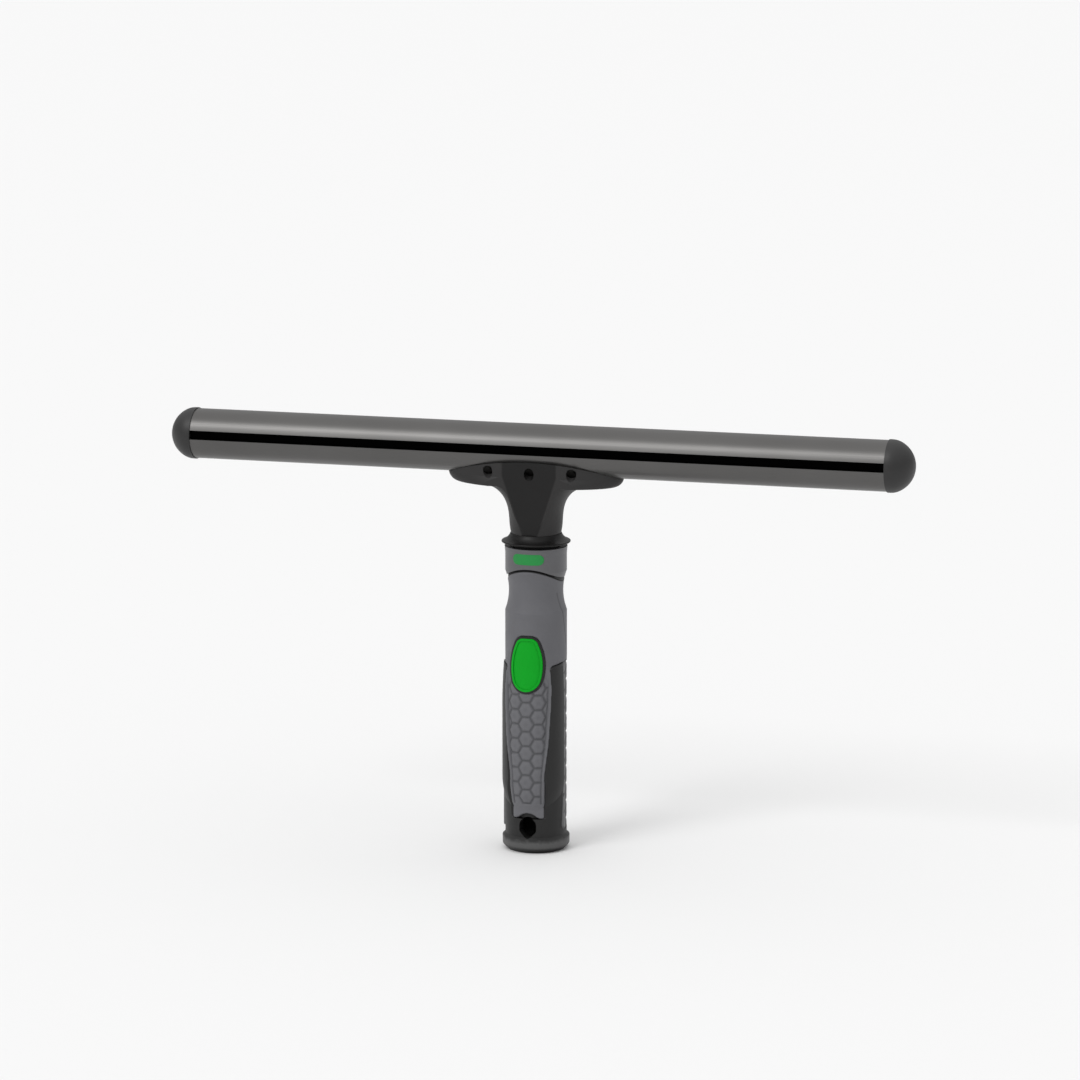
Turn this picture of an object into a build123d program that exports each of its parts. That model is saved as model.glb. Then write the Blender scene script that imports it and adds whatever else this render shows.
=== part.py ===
from build123d import *
import os
from math import atan2, cos, degrees, radians, sin, sqrt

os.makedirs("parts", exist_ok=True)

# A T-bar window scrubber: a capped aluminium tube on a neck that swivels in a straight handle.
# Millimetres. +Z runs up the handle, which is also the swivel axis, +X runs along the bar, and the
# front, with the release button, faces -Y. The origin is the centre of the handle's foot.

# Clearances
running_gap = 0.05       # radial, a turning shaft in its bush
sliding_gap = 0.15       # around the push button
assembly_gap = 0.05      # radial, pieces fitted once
end_play = 0.1           # axial, above and below the turning pieces
seam_width = 1.1         # open seam between collar and grip
overrun = 5.0            # how far a cutting tool passes through what it cuts

# Bar
tube_length = 424.0
tube_radius = 15.0
tube_wall = 1.4
channel_width = 5.4
channel_depth = 2.0
channel_rise = 1.0
cap_reach = 15.5
cap_step = 0.5
cap_lip = 1.6
cap_wall = 2.2
dome_shoulder_share = 0.71
cap_plug_length = 14.0
crush_rib_width = 1.4
crush_rib_count = 6

# Handle shell
foot_flare = 1.65
foot_height = 9.6
foot_rounding = 3.0
handle_radius = 18.3
grip_thickness = 2.0
core_neck_step = 2.1
core_neck_drop = 2.5
core_neck_taper = 4.0
core_head_step = 1.2
core_head_rise = 3.0
grip_lip_depth = 1.7       # the front grip runs on this deep under the collar
grip_lip_drop = 1.0
core_height = 182.6
waist_depth = 2.2
waist_length = 24.0
collar_inset = 0.05
collar_length = 14.1
collar_flare = 0.35
collar_rim_height = 4.0
collar_overlap = 0.4
collar_arc_rise = 1.7
collar_arc_drop = 7.4
collar_arc_angle = 86.0

# Belly of the front: a second round body about an axis nearer the front
belly_depth = 3.8
belly_bury = 0.6          # how far its ends sink below the straight body
belly_bottom = 25.0
belly_full_bottom = 45.0
belly_full_drop = 10.9    # its full part ends this far below the button

# Side panels and the seams between the grips, as seen from the side
panel_bulge = 0.7
panel_taper = 16.0
tongue_bottom = 21.0
tongue_narrow_height = 27.0
tongue_narrow_half_width = 9.8
tongue_middle_half_width = 10.7
tongue_wide_rise = 1.1
tongue_wide_half_width = 13.6
horn_outer_rounding = 1.0
horn_inner_rounding = 1.6
grip_step_rise = 14.1
grip_step_climb = 6.0
grip_corner_radius = 3.0
rear_grip_bottom = 13.0
rear_grip_angle = 76.0
tongue_arch_width = 2.4

# Pole socket and the hole for the pole's spring catch
socket_radius = 11.2
socket_chamfer = 1.2
socket_step = 0.4         # the bore narrows by this at the stop and again above it
catch_hole_width = 10.4
catch_hole_bottom = 8.0
catch_hole_top = 22.0
catch_hole_rounding = 2.6
catch_shoulder_rounding = 3.0

# Push button: an oval outline with a flatter top
button_width = 19.0
button_height = 31.4
button_drop = 52.3
button_widest_rise = 14.6
button_flat_width = 10.0
button_corner_radius = 4.6
button_foot_radius = 8.8
button_proud = 1.0
button_wall = 1.6
button_flange = 1.0
button_flange_drop = 4.3
button_rim_width = 1.3
button_rim_height = 0.5
bezel_width = 1.2
bezel_proud = 0.3
wedge_width = 3.0
wedge_clearance = 0.3
wedge_thickness = 1.6
wedge_slope_rise = 2.0

# Swivel: spindle, bushes, index ring
spindle_radius = 8.0
bush_wall = 1.6
bush_flange_thickness = 1.6
lower_bush_flange_radius = 10.3
lower_bush_length = 8.0
bush_flange_inset = 2.2
upper_bush_length = 16.0
relief_wall = 2.0
relief_margin = 6.0
chamber_above_button = 2.3
index_ring_radius = 10.2
index_ring_height = 14.0
index_flat_width = 10.0
index_boss_radius = 6.5
notch_width = 3.0
notch_depth = 2.0
notch_root_radius = 7.9
notch_count = 5
notch_step = 45.0
front_angle = -90.0      # degrees round +Z from +X
half_turn = 180.0
washer_radius = 7.2
washer_thickness = 1.4
washer_recess = 1.6
screw_shank_radius = 2.4
screw_length = 12.0
screw_head_radius = 3.8
screw_head_height = 2.6
screw_socket_radius = 1.9
seal_width = 1.6
seal_height = 1.7

# Lock spring, its screw and the button's return spring
stop_disc_thickness = 4.0
stop_drop = 19.2
spring_thickness = 0.8
spring_half_width = 5.6
spring_hole_radius = 4.2
spring_nose_width = 4.4
spring_nose_reach = 10.2
spring_tail_reach = 8.5
spring_drop = 2.3
tooth_width = 2.6
tooth_depth = 1.6
tooth_height = 3.4
post_width = 8.0
post_front = 5.0
post_back = 9.2
leaf_screw_place = 7.2
leaf_screw_radius = 0.9
leaf_screw_head_radius = 1.7
leaf_screw_head_height = 1.1
leaf_screw_length = 6.0
rest_width = 6.0
rest_thickness = 1.5
rest_place = 4.5
coil_radius = 2.3
coil_wire_radius = 0.35
coil_turns = 4
coil_drop = 4.8

# Drip skirt around the neck
skirt_overhang = 1.85
skirt_lift = 1.8
skirt_rim_lift = 0.7
skirt_rim_height = 1.2
skirt_height = 6.2
skirt_floor = 3.8
skirt_top_width = 0.5
skirt_bend_width_share = 0.27
skirt_bend_height_share = 0.5

# Neck and saddle. The shares run from the foot of the neck up to the tips of the saddle: how far up
# each section lies, how far its half length has grown from the neck's radius to the saddle's, and
# its half depth as a share of a radius between the neck's and the tube's
neck_radius = 14.8
neck_height = 49.8
saddle_tip_drop = 0.2
saddle_half_length = 53.6
saddle_wrap_angle = 67.2
saddle_lip = 0.4
neck_rise_shares = (0, 0.29, 0.50, 0.68, 0.84, 1)
neck_spread_shares = (0, 0.028, 0.059, 0.155, 0.575, 1)
neck_depth_shares = (1, 1.142, 1.284, 1.300, 1.230, 1.087)
facet_depth_low = 0.8
facet_wall_high = 0.7
saddle_screw_spacing = 25.5
saddle_screw_columns = 3
saddle_screw_angle = 50.0
saddle_screw_floor = 2.0
saddle_screw_head_radius = 2.7
saddle_screw_head_height = 1.5
saddle_screw_radius = 1.45
saddle_screw_length = 6.0
saddle_screw_well_radius = 3.0

# Badge inlay, a plain pill on the collar
badge_width = 19.0
badge_height = 6.4
badge_drop = 5.8
badge_recess = 0.8
badge_proud = 0.15

# Heights worked out from those above, down from the top of the core and up from it
collar_top = core_height + collar_overlap
collar_arc_peak = core_height - collar_length + collar_arc_rise
waist_top = core_height - collar_length
waist_middle = waist_top - waist_length / 2
waist_bottom = waist_top - waist_length
core_neck_start = waist_bottom - core_neck_drop
core_head_start = waist_middle + core_head_rise
badge_center = collar_top - badge_drop
button_top = core_height - button_drop
button_bottom = button_top - button_height
button_widest = button_bottom + button_widest_rise
chamber_top = button_top - chamber_above_button
belly_full_top = button_bottom - belly_full_drop
tongue_wide_height = button_bottom + tongue_wide_rise
grip_step_front = button_bottom + grip_step_rise
grip_step_rear = grip_step_front + grip_step_climb
skirt_bottom = core_height + skirt_lift
skirt_rim_bottom = skirt_bottom + skirt_rim_lift
neck_seat = skirt_bottom + skirt_floor
neck_foot = skirt_bottom + skirt_height
tube_axis_height = neck_foot + neck_height
saddle_tip_height = tube_axis_height - tube_radius - saddle_tip_drop
saddle_peak = tube_axis_height - tube_radius * cos(radians(saddle_wrap_angle))

# Radii worked out from those above
foot_radius = handle_radius + foot_flare
core_radius = handle_radius - grip_thickness
core_neck_radius = core_radius - core_neck_step
core_head_radius = core_neck_radius + core_head_step
waist_radius = handle_radius - waist_depth
collar_radius = handle_radius - collar_inset
collar_rim_radius = collar_radius + collar_flare
grip_lip_radius = collar_radius - grip_lip_depth
skirt_radius = collar_rim_radius + skirt_overhang
skirt_top_radius = neck_radius + skirt_top_width
upper_bush_flange_radius = core_neck_radius - bush_flange_inset
relief_radius = core_neck_radius - relief_wall
tube_inner_radius = tube_radius - tube_wall
cap_plug_radius = tube_inner_radius - channel_depth - assembly_gap
saddle_screw_seat = tube_radius + saddle_screw_floor
tongue_arch_radius = catch_hole_width / 2 + tongue_arch_width

# Other sizes worked out from those above
tube_half = tube_length / 2
bush_radius = spindle_radius + running_gap + bush_wall
bush_seat_radius = bush_radius + assembly_gap
index_ring_top = chamber_top - bush_flange_thickness - end_play
index_ring_bottom = index_ring_top - index_ring_height
spindle_end = index_ring_bottom + washer_recess
spring_top = index_ring_bottom - spring_drop
spring_bottom = spring_top - spring_thickness
coil_height = spring_bottom - coil_drop
stop_disc_top = spring_bottom - stop_drop
socket_depth = stop_disc_top - stop_disc_thickness
stop_seat_radius = socket_radius - socket_step
chamber_radius = stop_seat_radius - socket_step
reach = 2 * handle_radius + overrun

# The belly falls from its full depth to its buried ends along parabolas
belly_fall = belly_depth + belly_bury
belly_run = core_neck_start - belly_full_top

# How far the front stands from the handle's axis, at a height above the belly's full part
def front_at(height):
    return handle_radius + belly_depth - belly_fall * ((height - belly_full_top) / belly_run) ** 2

# Inner face of the push button's wall at a height
def button_inside_at(height):
    return front_at(height) + button_proud - button_rim_height - button_wall

# Where an edge of that half width lies on the belly's full part, as seen from the side
def edge_depth(half_width):
    return -belly_depth - sqrt(handle_radius**2 - half_width**2)

button_flange_depth = front_at(button_top) - button_flange_drop
tongue_foot_depth = edge_depth(tongue_narrow_half_width) + belly_depth
tongue_middle_depth = edge_depth(tongue_middle_half_width)
tongue_wide_depth = edge_depth(tongue_wide_half_width)
rear_edge = -handle_radius * cos(radians(rear_grip_angle))

# The belly with its surface raised or lowered by the same amount all over
def belly_body(rise):
    with BuildPart() as belly:
        with BuildSketch(Plane.XZ.offset(belly_depth)):
            with BuildLine():
                full_radius = handle_radius + rise
                end_radius = full_radius - belly_fall
                full_low = (full_radius, belly_full_bottom)
                full_high = (full_radius, belly_full_top)
                low_pull = (full_radius, (belly_bottom + belly_full_bottom) / 2)
                high_pull = (full_radius, (belly_full_top + core_neck_start) / 2)
                Line((0, belly_bottom), (end_radius, belly_bottom))
                Bezier((end_radius, belly_bottom), low_pull, full_low)
                Line(full_low, full_high)
                Bezier(full_high, high_pull, (end_radius, core_neck_start))
                Line((end_radius, core_neck_start), (0, core_neck_start))
                Line((0, core_neck_start), (0, belly_bottom))
            make_face()
        revolve(axis=Axis((0, -belly_depth, 0), (0, 0, 1)))
    return belly.part

# Outlines shared by several pieces

# Button outline on the front plane, drawn at its real height. Its foot is an arc that the side arcs
# touch, which fixes their radius and the points where they meet it
foot_lift = button_widest - button_bottom - button_foot_radius
foot_inset = button_width / 2 - button_foot_radius
side_radius = ((button_width / 2) ** 2 + foot_lift**2 - button_foot_radius**2) / (2 * foot_inset)
foot_share = button_foot_radius / (side_radius - button_foot_radius)
foot_arc_half = foot_share * (side_radius - button_width / 2)
foot_arc_top = button_bottom + button_foot_radius - foot_share * foot_lift
with BuildSketch(Plane.XZ) as button_outline:
    with BuildLine():
        Line((-button_flat_width / 2, button_top), (button_flat_width / 2, button_top))
        for side in (-1, 1):
            side_point = (side * button_width / 2, button_widest)
            TangentArc(side_point, (side * button_flat_width / 2, button_top), tangent=(0, 1))
            TangentArc(side_point, (side * foot_arc_half, foot_arc_top), tangent=(0, -1))
        ThreePointArc((-foot_arc_half, foot_arc_top), (0, button_bottom), (foot_arc_half, foot_arc_top))
    make_face()
    fillet(button_outline.vertices().group_by(Axis.Y)[-1], button_corner_radius)

# Pole catch hole: round above, drawn to a blunt point below
with BuildSketch(Plane.XZ) as catch_outline:
    catch_center = catch_hole_top - catch_hole_width / 2
    with Locations((0, catch_center)):
        Circle(catch_hole_width / 2)
    with BuildLine():
        point_height = catch_hole_bottom + catch_hole_width / 2
        Polyline(
            (-catch_hole_width / 2, catch_center),
            (-catch_hole_width / 2, point_height),
            (0, catch_hole_bottom),
            (catch_hole_width / 2, point_height),
            (catch_hole_width / 2, catch_center),
            close=True,
        )
    make_face()
    fillet(catch_outline.vertices().group_by(Axis.Y)[0], catch_hole_rounding)
    shoulders = catch_outline.vertices().sort_by_distance((0, point_height)).filter_by(
        lambda corner: abs(corner.Y - point_height) < assembly_gap
    )
    fillet(shoulders, catch_shoulder_rounding)

# The front grip seen from the side: everything above the step, and the tongue down the front
with BuildSketch(Plane.YZ) as front_region:
    with BuildLine():
        Polyline(
            (-reach, tongue_bottom),
            (tongue_foot_depth, tongue_bottom),
            (tongue_foot_depth, tongue_narrow_height),
            (tongue_middle_depth, belly_full_bottom),
            (tongue_wide_depth, tongue_wide_height),
            (tongue_wide_depth, grip_step_front),
            (reach, grip_step_rear),
            (reach, tube_axis_height),
            (-reach, tube_axis_height),
            close=True,
        )
    make_face()
    step_point = (tongue_wide_depth, grip_step_front)
    step_corner = front_region.vertices().sort_by_distance(step_point)[0]
    fillet(step_corner, grip_corner_radius)
    horn_point = (tongue_foot_depth, tongue_bottom)
    horn_corner = front_region.vertices().sort_by_distance(horn_point)[0]
    fillet(horn_corner, horn_outer_rounding)

# The rear grip seen from the side
with BuildSketch(Plane.YZ) as rear_region:
    with BuildLine():
        step_slope = (grip_step_rear - grip_step_front) / (reach - tongue_wide_depth)
        rear_top = grip_step_rear - step_slope * (reach - rear_edge)
        Polyline(
            (rear_edge, rear_grip_bottom),
            (rear_edge, rear_top),
            (reach, grip_step_rear),
            (reach, rear_grip_bottom),
            close=True,
        )
    make_face()
    rear_corner = rear_region.vertices().sort_by_distance((rear_edge, rear_grip_bottom))[0]
    fillet(rear_corner, grip_corner_radius)

# Everything below the collar's curved lower edge, as seen from the front
arc_half = handle_radius * sin(radians(collar_arc_angle))
with BuildSketch(Plane.XZ) as below_collar:
    with BuildLine():
        arc_low = collar_arc_peak - collar_arc_drop
        ThreePointArc((-arc_half, arc_low), (0, collar_arc_peak), (arc_half, arc_low))
        Polyline(
            (arc_half, arc_low),
            (reach, arc_low),
            (reach, 0),
            (-reach, 0),
            (-reach, arc_low),
            (-arc_half, arc_low),
        )
    make_face()

# Outer skin of the grips: a straight body with its belly, a waist and the start of the collar
with BuildPart() as grip_skin:
    with BuildSketch(Plane.XZ):
        with BuildLine():
            Line((0, rear_grip_bottom), (handle_radius, rear_grip_bottom))
            Line((handle_radius, rear_grip_bottom), (handle_radius, waist_bottom))
            waist_start = (handle_radius, waist_bottom)
            ThreePointArc(waist_start, (waist_radius, waist_middle), (collar_radius, waist_top))
            Line((collar_radius, waist_top), (collar_radius, collar_top - collar_rim_height))
            Line((collar_radius, collar_top - collar_rim_height), (collar_rim_radius, collar_top))
            Line((collar_rim_radius, collar_top), (0, collar_top))
            Line((0, collar_top), (0, rear_grip_bottom))
        make_face()
    revolve(axis=Axis.Z)
    add(belly_body(0))

# Handle core: foot, socket tube, side panels and the seats for the bushes
with BuildPart() as handle_core:
    with BuildSketch(Plane.XZ):
        with BuildLine():
            neck_taper_end = core_neck_start + core_neck_taper
            Polyline(
                (0, 0),
                (foot_radius - foot_rounding, 0),
                (foot_radius, foot_rounding),
                (foot_radius, foot_height - foot_rounding / 2),
                (handle_radius, foot_height),
                (handle_radius, rear_grip_bottom),
                (core_radius, rear_grip_bottom),
                (core_radius, core_neck_start),
                (core_neck_radius, neck_taper_end),
                (core_neck_radius, core_head_start),
                (core_head_radius, core_head_start + core_head_step),
                (core_head_radius, core_height),
                (0, core_height),
                close=True,
            )
        make_face()
    revolve(axis=Axis.Z)
    fillet(handle_core.edges().filter_by(GeomType.CIRCLE).group_by(Axis.Z)[1], foot_rounding / 2)
    # The panels stand a little proud between the two grips
    with BuildSketch(Plane.XZ):
        with BuildLine():
            panel_radius = handle_radius + panel_bulge
            panel_foot = rear_grip_bottom + panel_taper
            panel_head = grip_step_front - panel_taper
            Polyline(
                (0, rear_grip_bottom),
                (handle_radius, rear_grip_bottom),
                (panel_radius, panel_foot),
                (panel_radius, panel_head),
                (handle_radius, grip_step_rear),
                (0, grip_step_rear),
                close=True,
            )
        make_face()
    revolve(axis=Axis.Z)
    add(belly_body(panel_bulge))

with BuildPart() as grip_pockets:
    with BuildSketch(Plane.YZ):
        add(front_region.sketch_local)
        add(rear_region.sketch_local)
    extrude(amount=reach, both=True)
    with BuildSketch(Plane.XY.offset(rear_grip_bottom)):
        Circle(core_radius)
    extrude(amount=core_neck_start - rear_grip_bottom, mode=Mode.SUBTRACT)
    add(belly_body(-grip_thickness), mode=Mode.SUBTRACT)
    with BuildSketch(Plane.XY.offset(core_neck_start)):
        Circle(reach)
    extrude(amount=tube_axis_height, mode=Mode.SUBTRACT)

with BuildPart() as shaped_core:
    add(handle_core.part)
    add(grip_pockets.part, mode=Mode.SUBTRACT)
    # Pole socket, lock chamber and the seats for the two bushes
    with BuildSketch(Plane.XZ):
        with BuildLine():
            lower_seat_top = chamber_top + lower_bush_length + relief_margin / 2
            upper_seat_bottom = core_height - upper_bush_length - relief_margin / 2
            Polyline(
                (0, -overrun),
                (socket_radius, -overrun),
                (socket_radius, socket_depth),
                (stop_seat_radius, socket_depth),
                (stop_seat_radius, stop_disc_top),
                (chamber_radius, stop_disc_top),
                (chamber_radius, chamber_top),
                (bush_seat_radius, chamber_top),
                (bush_seat_radius, lower_seat_top),
                (relief_radius, lower_seat_top + relief_radius - bush_seat_radius),
                (relief_radius, upper_seat_bottom - relief_radius + bush_seat_radius),
                (bush_seat_radius, upper_seat_bottom),
                (bush_seat_radius, core_height + overrun),
                (0, core_height + overrun),
                close=True,
            )
        make_face()
    revolve(axis=Axis.Z, mode=Mode.SUBTRACT)
    foot_circles = shaped_core.edges().filter_by(GeomType.CIRCLE).group_by(Axis.Z)[0]
    socket_mouth = foot_circles.sort_by(SortBy.RADIUS)[0]
    chamfer(socket_mouth, socket_chamfer)
    # Window for the push button and its flange
    with BuildSketch(Plane.XZ.offset(bush_seat_radius + sliding_gap)):
        add(button_outline.sketch_local)
        offset(amount=sliding_gap + bezel_width)
    extrude(amount=reach, mode=Mode.SUBTRACT)
    # Hole for the spring catch of an extension pole
    with BuildSketch(Plane.XZ):
        add(catch_outline.sketch_local)
    extrude(amount=reach, mode=Mode.SUBTRACT)
shaped_core.part.label = "handle_core"
export_step(shaped_core.part, "parts/handle_core.step")

# Front grip: soft sleeve around the top of the handle with a tongue down its front
with BuildPart() as front_grip:
    add(grip_skin.part)
    with BuildSketch(Plane.YZ):
        add(front_region.sketch_local)
    extrude(amount=reach, both=True, mode=Mode.INTERSECT)
    with BuildSketch(Plane.XZ):
        add(below_collar.sketch_local)
    extrude(amount=reach, both=True, mode=Mode.INTERSECT)
    # Lip under the collar, which closes the seam behind its curved edge
    with BuildSketch(Plane.XY.offset(collar_arc_peak - collar_arc_drop - grip_lip_drop)):
        Circle(grip_lip_radius)
    extrude(amount=collar_arc_drop + grip_lip_drop + collar_length / 2)
    with BuildSketch(Plane.XZ):
        with BuildLine():
            Polyline(
                (0, -overrun),
                (core_radius, -overrun),
                (core_radius, core_neck_start),
                (core_neck_radius, neck_taper_end),
                (core_neck_radius, core_head_start),
                (core_head_radius, core_head_start + core_head_step),
                (core_head_radius, core_height + overrun),
                (0, core_height + overrun),
                close=True,
            )
        make_face()
    revolve(axis=Axis.Z, mode=Mode.SUBTRACT)
    add(belly_body(-grip_thickness), mode=Mode.SUBTRACT)
    # Opening for the bezel
    with BuildSketch(Plane.XZ):
        add(button_outline.sketch_local)
        offset(amount=sliding_gap + bezel_width)
    extrude(amount=reach, mode=Mode.SUBTRACT)
    # The foot of the tongue arches over the catch hole and leaves two round horns
    with BuildSketch(Plane.XZ) as tongue_arch:
        with Locations((0, catch_center)):
            Circle(tongue_arch_radius)
        with Locations((0, tongue_bottom / 2)):
            Rectangle(2 * reach, tongue_bottom)
        horn_corners = tongue_arch.vertices().sort_by_distance((0, tongue_bottom))[:2]
        fillet(horn_corners, horn_inner_rounding)
    extrude(amount=reach, mode=Mode.SUBTRACT)
front_grip.part.label = "front_grip"
export_step(front_grip.part, "parts/front_grip.step")

# Rear grip: soft pad down the back
with BuildPart() as rear_grip:
    add(grip_skin.part)
    with BuildSketch(Plane.YZ):
        add(rear_region.sketch_local)
    extrude(amount=reach, both=True, mode=Mode.INTERSECT)
    with BuildSketch(Plane.XY):
        Circle(core_radius)
    extrude(amount=core_height, mode=Mode.SUBTRACT)
    add(belly_body(-grip_thickness), mode=Mode.SUBTRACT)
rear_grip.part.label = "rear_grip"
export_step(rear_grip.part, "parts/rear_grip.step")

# Recess for the badge inlay, of even depth around the collar
with BuildPart() as badge_pocket:
    with BuildSketch(Plane.XZ):
        with Locations((0, badge_center)):
            SlotOverall(badge_width, badge_height)
    extrude(amount=reach)
    with BuildSketch(Plane.XY.offset(badge_center - badge_height)):
        Circle(collar_radius - badge_recess)
    extrude(amount=2 * badge_height, mode=Mode.SUBTRACT)

# Collar: hard ring around the top, cut along an arc at the front
with BuildPart() as collar:
    add(grip_skin.part)
    with BuildSketch(Plane.XZ):
        with Locations((0, seam_width)):
            add(below_collar.sketch_local)
    extrude(amount=reach, both=True, mode=Mode.SUBTRACT)
    with BuildSketch(Plane.XY):
        Circle(core_head_radius)
    extrude(amount=collar_top + overrun, mode=Mode.SUBTRACT)
    with BuildSketch(Plane.XY):
        Circle(grip_lip_radius + assembly_gap)
    extrude(amount=collar_arc_peak + collar_length / 2 + assembly_gap, mode=Mode.SUBTRACT)
    add(badge_pocket.part, mode=Mode.SUBTRACT)
collar.part.label = "collar"
export_step(collar.part, "parts/collar.step")

# Badge inlay: a plain pill let into the collar
with BuildPart() as badge_inlay:
    with BuildSketch(Plane.XY.offset(badge_center - badge_height)):
        Circle(collar_radius + badge_proud)
        Circle(collar_radius - badge_recess, mode=Mode.SUBTRACT)
    extrude(amount=2 * badge_height)
    with BuildSketch(Plane.XZ):
        with Locations((0, badge_center)):
            SlotOverall(badge_width - 2 * assembly_gap, badge_height - 2 * assembly_gap)
    extrude(amount=reach, mode=Mode.INTERSECT)
badge_inlay.part.label = "badge_inlay"
export_step(badge_inlay.part, "parts/badge_inlay.step")

# Bezel: black ring that frames the button and holds its flange in
with BuildPart() as button_bezel:
    add(belly_body(bezel_proud))
    with BuildSketch(Plane.XZ.offset(button_flange_depth)):
        add(button_outline.sketch_local)
        offset(amount=sliding_gap + bezel_width - assembly_gap)
    extrude(amount=reach, mode=Mode.INTERSECT)
    with BuildSketch(Plane.XZ):
        add(button_outline.sketch_local)
        offset(amount=sliding_gap)
    extrude(amount=reach, mode=Mode.SUBTRACT)
button_bezel.part.label = "button_bezel"
export_step(button_bezel.part, "parts/button_bezel.step")

# Push button: hollow cap with a raised rim, a flange behind the bezel and a wedge for the leaf
with BuildPart() as button_hollow:
    add(belly_body(button_proud - button_rim_height - button_wall))
    with BuildSketch(Plane.XZ):
        add(button_outline.sketch_local)
        offset(amount=-button_wall)
    extrude(amount=reach, mode=Mode.INTERSECT)

with BuildPart() as button_dish:
    with BuildSketch(Plane.XZ):
        add(button_outline.sketch_local)
        offset(amount=-button_rim_width)
    extrude(amount=reach)
    add(belly_body(button_proud - button_rim_height), mode=Mode.SUBTRACT)

with BuildPart() as lock_button:
    add(belly_body(button_proud))
    with BuildSketch(Plane.XZ.offset(button_flange_depth - button_flange)):
        add(button_outline.sketch_local)
    extrude(amount=reach, mode=Mode.INTERSECT)
    add(button_dish.part, mode=Mode.SUBTRACT)
    with BuildSketch(Plane.XZ.offset(button_flange_depth - button_flange)):
        add(button_outline.sketch_local)
        offset(amount=button_flange)
    extrude(amount=button_flange - assembly_gap)
    add(button_hollow.part, mode=Mode.SUBTRACT)
    # The wedge reaches in under the index ring and rides down the nose of the leaf
    with BuildSketch(Plane.YZ):
        with BuildLine():
            wedge_tip = -spring_nose_reach - wedge_clearance
            wedge_base = spring_top + wedge_clearance
            wedge_root = -button_inside_at(wedge_base) - button_rim_height
            Polyline(
                (wedge_tip, wedge_base),
                (wedge_tip - wedge_slope_rise, wedge_base - wedge_slope_rise),
                (wedge_root, wedge_base - wedge_slope_rise),
                (wedge_root, wedge_base + wedge_thickness),
                (wedge_tip, wedge_base + wedge_thickness),
                close=True,
            )
        make_face()
    extrude(amount=wedge_width / 2, both=True)
lock_button.part.label = "lock_button"
export_step(lock_button.part, "parts/lock_button.step")

# Plug that closes the pole socket, with a post for the leaf and a rest for the coil
with BuildPart() as socket_stop:
    with BuildSketch(Plane.XY.offset(socket_depth)):
        Circle(stop_seat_radius - assembly_gap)
    extrude(amount=stop_disc_thickness)
    with BuildSketch(Plane.XY.offset(stop_disc_top)):
        with Locations((0, (post_front + post_back) / 2)):
            Rectangle(post_width, post_back - post_front)
    extrude(amount=spring_bottom - stop_disc_top)
    with BuildSketch(Plane.XY.offset(stop_disc_top)):
        with Locations((0, -rest_place - rest_thickness / 2)):
            Rectangle(rest_width, rest_thickness)
    extrude(amount=coil_height + coil_radius - stop_disc_top)
    with Locations((0, leaf_screw_place, spring_bottom)):
        Hole(leaf_screw_radius + assembly_gap, leaf_screw_length)
socket_stop.part.label = "socket_stop"
export_step(socket_stop.part, "parts/socket_stop.step")

# Leaf spring: its tooth stands in a notch of the index ring
with BuildPart() as lock_spring:
    with BuildSketch(Plane.XY.offset(spring_bottom)):
        with Locations((0, (spring_tail_reach - notch_root_radius) / 2)):
            Rectangle(2 * spring_half_width, spring_tail_reach + notch_root_radius)
        with Locations((0, -spring_nose_reach / 2)):
            Rectangle(spring_nose_width, spring_nose_reach)
        Circle(spring_hole_radius, mode=Mode.SUBTRACT)
        with Locations((0, leaf_screw_place)):
            Circle(leaf_screw_radius + assembly_gap, mode=Mode.SUBTRACT)
    extrude(amount=spring_thickness)
    with BuildSketch(Plane.XY.offset(spring_top)):
        with Locations((0, -spring_nose_reach + wedge_clearance + tooth_depth / 2)):
            Rectangle(tooth_width, tooth_depth)
    extrude(amount=tooth_height)
lock_spring.part.label = "lock_spring"
export_step(lock_spring.part, "parts/lock_spring.step")

with BuildPart() as lock_spring_screw:
    with BuildSketch(Plane.XY.offset(spring_top)):
        with Locations((0, leaf_screw_place)):
            Circle(leaf_screw_head_radius)
    extrude(amount=leaf_screw_head_height)
    with BuildSketch(Plane.XY.offset(spring_top)):
        with Locations((0, leaf_screw_place)):
            Circle(leaf_screw_radius)
    extrude(amount=-leaf_screw_length)
lock_spring_screw.part.label = "lock_spring_screw"
export_step(lock_spring_screw.part, "parts/lock_spring_screw.step")

# Coil that pushes the button back out
coil_back = rest_place + rest_thickness + coil_wire_radius + assembly_gap
coil_front = button_inside_at(coil_height) - 3 * coil_wire_radius
coil_span = coil_front - coil_back
with BuildPart() as button_spring:
    with BuildLine():
        coil_path = Helix(
            coil_span / coil_turns,
            coil_span,
            coil_radius,
            center=(0, -coil_back, coil_height),
            direction=(0, -1, 0),
        )
    with BuildSketch(Plane(origin=coil_path @ 0, z_dir=coil_path % 0)):
        Rectangle(2 * coil_wire_radius, 2 * coil_wire_radius)
    sweep(is_frenet=True)
button_spring.part.label = "button_spring"
export_step(button_spring.part, "parts/button_spring.step")

# Flanged bushes: one under the web above the lock chamber, one in the top of the core
with BuildPart() as lower_bush:
    with BuildSketch(Plane.XY.offset(chamber_top - bush_flange_thickness)):
        Circle(lower_bush_flange_radius)
    extrude(amount=bush_flange_thickness)
    with BuildSketch(Plane.XY.offset(chamber_top)):
        Circle(bush_radius)
    extrude(amount=lower_bush_length)
    with Locations((0, 0, chamber_top + lower_bush_length)):
        Hole(spindle_radius + running_gap)
lower_bush.part.label = "lower_bush"
export_step(lower_bush.part, "parts/lower_bush.step")

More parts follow.
